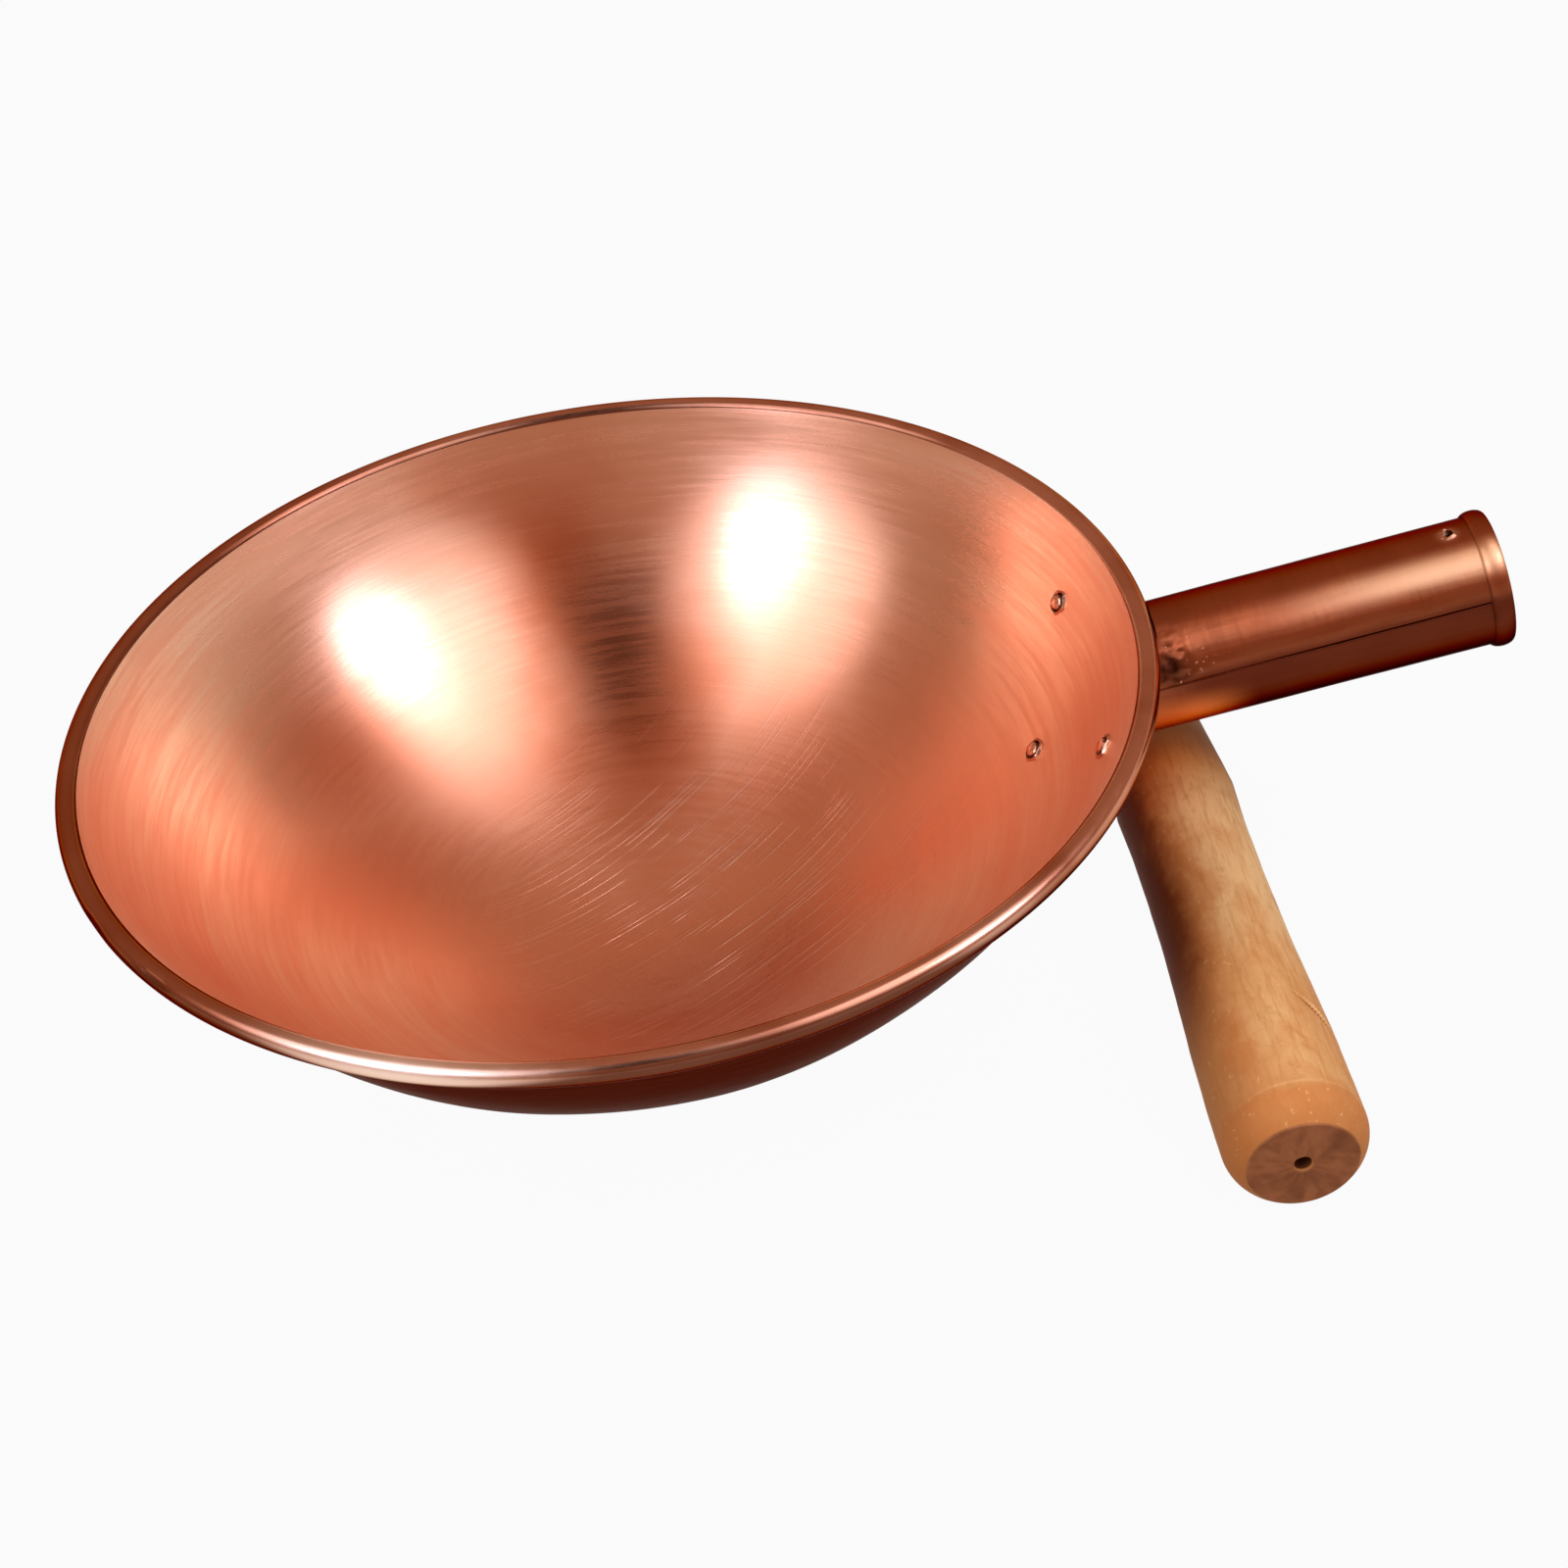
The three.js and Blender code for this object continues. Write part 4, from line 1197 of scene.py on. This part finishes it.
def wooden_handle():
    outline = handle_outline()
    grid = turned(outline, whole_turn(HANDLE_SEGMENTS))
    side = smooth_step(BUTT_RADIUS + SIDE_FROM, BUTT_RADIUS + SIDE_TO, outline[:, 0])
    lift = TOOLED_DEPTH * (uneven(grid, TOOLED_SIZE) - 1) + RASPED_DEPTH * uneven(grid, RASPED_SIZE)
    angle = np.degrees(np.arctan2(grid[..., 0], grid[..., 1]))
    from_dent = grid[..., 2] - DENT_FROM_BUTT - DENT_SLANT * (angle - DENT_ANGLE)
    ridge = RIDGE_HEIGHT * hump(from_dent, RIDGE_FROM_DENT, RIDGE_HALF)
    dent = ridge - DENT_DEPTH * hump(from_dent, 0, DENT_HALF)
    lift += dent * hump(angle, DENT_ANGLE, DENT_REACH)
    grid[..., :2] *= 1 + (side * lift / np.maximum(outline[:, 0], 1))[..., None]
    add_piece("handle_turned", grid, handle, "wooden_handle", [turned_wood()])


# Stage
def floor_material():
    """Pale floor that shows as white, with the object's shadow laid faintly over it."""
    shader = Shader("floor", wok)
    path = shader.add("LightPath").outputs
    seen = shader.most(shader.most(path["Is Camera Ray"], path["Is Glossy Ray"]), path["Is Transmission Ray"])
    white = shader.add("Emission", {"Color": WHITE, "Strength": 1.0}).outputs[0]
    matt = shader.add("BsdfDiffuse", {"Color": FLOOR_GREY}).outputs[0]
    blend = shader.add("MixShader", {0: shader.times(seen, FLOOR_WHITE), 1: matt, 2: white}).outputs[0]
    shader.feed(shader.tree.nodes["Material Output"].inputs["Surface"], blend)
    return shader.material


def floor():
    """Round floor with a low wall for a backdrop."""
    ends = turned(np.array([(FLOOR_RADIUS, 0), (FLOOR_RADIUS, FLOOR_WALL)]), whole_turn(FLOOR_SEGMENTS))
    corners = [*ends[:, 0], *ends[:, 1]]
    following = [(i + 1) % FLOOR_SEGMENTS for i in range(FLOOR_SEGMENTS)]
    walls = [(i, j, j + FLOOR_SEGMENTS, i + FLOOR_SEGMENTS) for i, j in enumerate(following)]
    mesh = bpy.data.meshes.new("floor")
    mesh.from_pydata(corners, [], [tuple(range(FLOOR_SEGMENTS)), *walls])
    mesh.materials.append(floor_material())
    ground = add_object("floor", mesh)
    ground.location.z = cad_box[0].z - FLOOR_BELOW


def lamp(name, azimuth, elevation, distance, size, radiance, colour):
    """Soft lamp aimed at the bowl: azimuth turns from the far side towards the socket."""
    light = bpy.data.lights.new(name, "AREA")
    light.shape = "DISK"
    light.size = size
    light.color = colour
    light.energy = radiance * (math.pi * size / 2) ** 2
    lit = add_object(name, light)
    turn, lift = math.radians(azimuth), math.radians(elevation)
    aim = Vector((math.sin(turn) * math.cos(lift), math.cos(turn) * math.cos(lift), math.sin(lift)))
    lit.location = wok.translation + aim * distance
    lit.rotation_euler = aim.to_track_quat("Z", "Y").to_euler()


def studio():
    """Warm, dim room, darkest high in front."""
    world = bpy.data.worlds.new("studio")
    world.use_nodes = True
    bpy.context.scene.world = world
    tree = world.node_tree
    toward = tree.nodes.new("ShaderNodeVectorMath")
    toward.operation = "DOT_PRODUCT"
    toward.inputs[1].default_value = DARK_WAY
    ramp = tree.nodes.new("ShaderNodeMapRange")
    ramp.interpolation_type = "SMOOTHSTEP"
    ramp.inputs["From Min"].default_value = math.cos(math.radians(DARK_EDGE))
    ramp.inputs["To Min"].default_value = ROOM_LEVEL
    ramp.inputs["To Max"].default_value = DARK_LEVEL
    tree.links.new(tree.nodes.new("ShaderNodeTexCoord").outputs["Generated"], toward.inputs[0])
    tree.links.new(toward.outputs["Value"], ramp.inputs["Value"])
    tree.links.new(ramp.outputs["Result"], tree.nodes["Background"].inputs["Strength"])
    tree.nodes["Background"].inputs["Color"].default_value = ROOM_COLOUR


def camera():
    data = bpy.data.cameras.new("camera")
    data.lens = CAMERA_LENS
    data.sensor_width = CAMERA_SENSOR
    shot = add_object("camera", data)
    turn = Matrix.Rotation(math.radians(CAMERA_TURN), 4, "Z")
    tip = Matrix.Rotation(math.radians(90 - CAMERA_DOWN), 4, "X")
    roll = Matrix.Rotation(math.radians(CAMERA_ROLL), 4, "Z")
    stand = Matrix.Translation(wok.translation + Vector(CAMERA_FROM_RIM) * MM)
    shot.matrix_world = stand @ turn @ tip @ roll
    bpy.context.scene.camera = shot


bowl()
handle_socket()
wooden_handle()
for rivet_name, rivet_way in rivet_outs.items():
    rivet(rivet_name, rivet_way)
wire = frame["nodes"]["rim_wire"].data.materials
wire.clear()
wire.append(steel_wire())
floor()
studio()
lamp("softbox_right", azimuth=116, **SOFTBOX)
lamp("softbox_left", azimuth=-123, **SOFTBOX)
lamp("glow_right", azimuth=109, **GLOW)
lamp("glow_left", azimuth=-121, **GLOW)
lamp("fan_right", azimuth=80, **FAN)
lamp("bulb_right", azimuth=105, elevation=39.5, **BULB)
lamp("bulb_left", azimuth=-133, elevation=40.5, **BULB)
camera()
bpy.context.scene.view_settings.view_transform = "Standard"
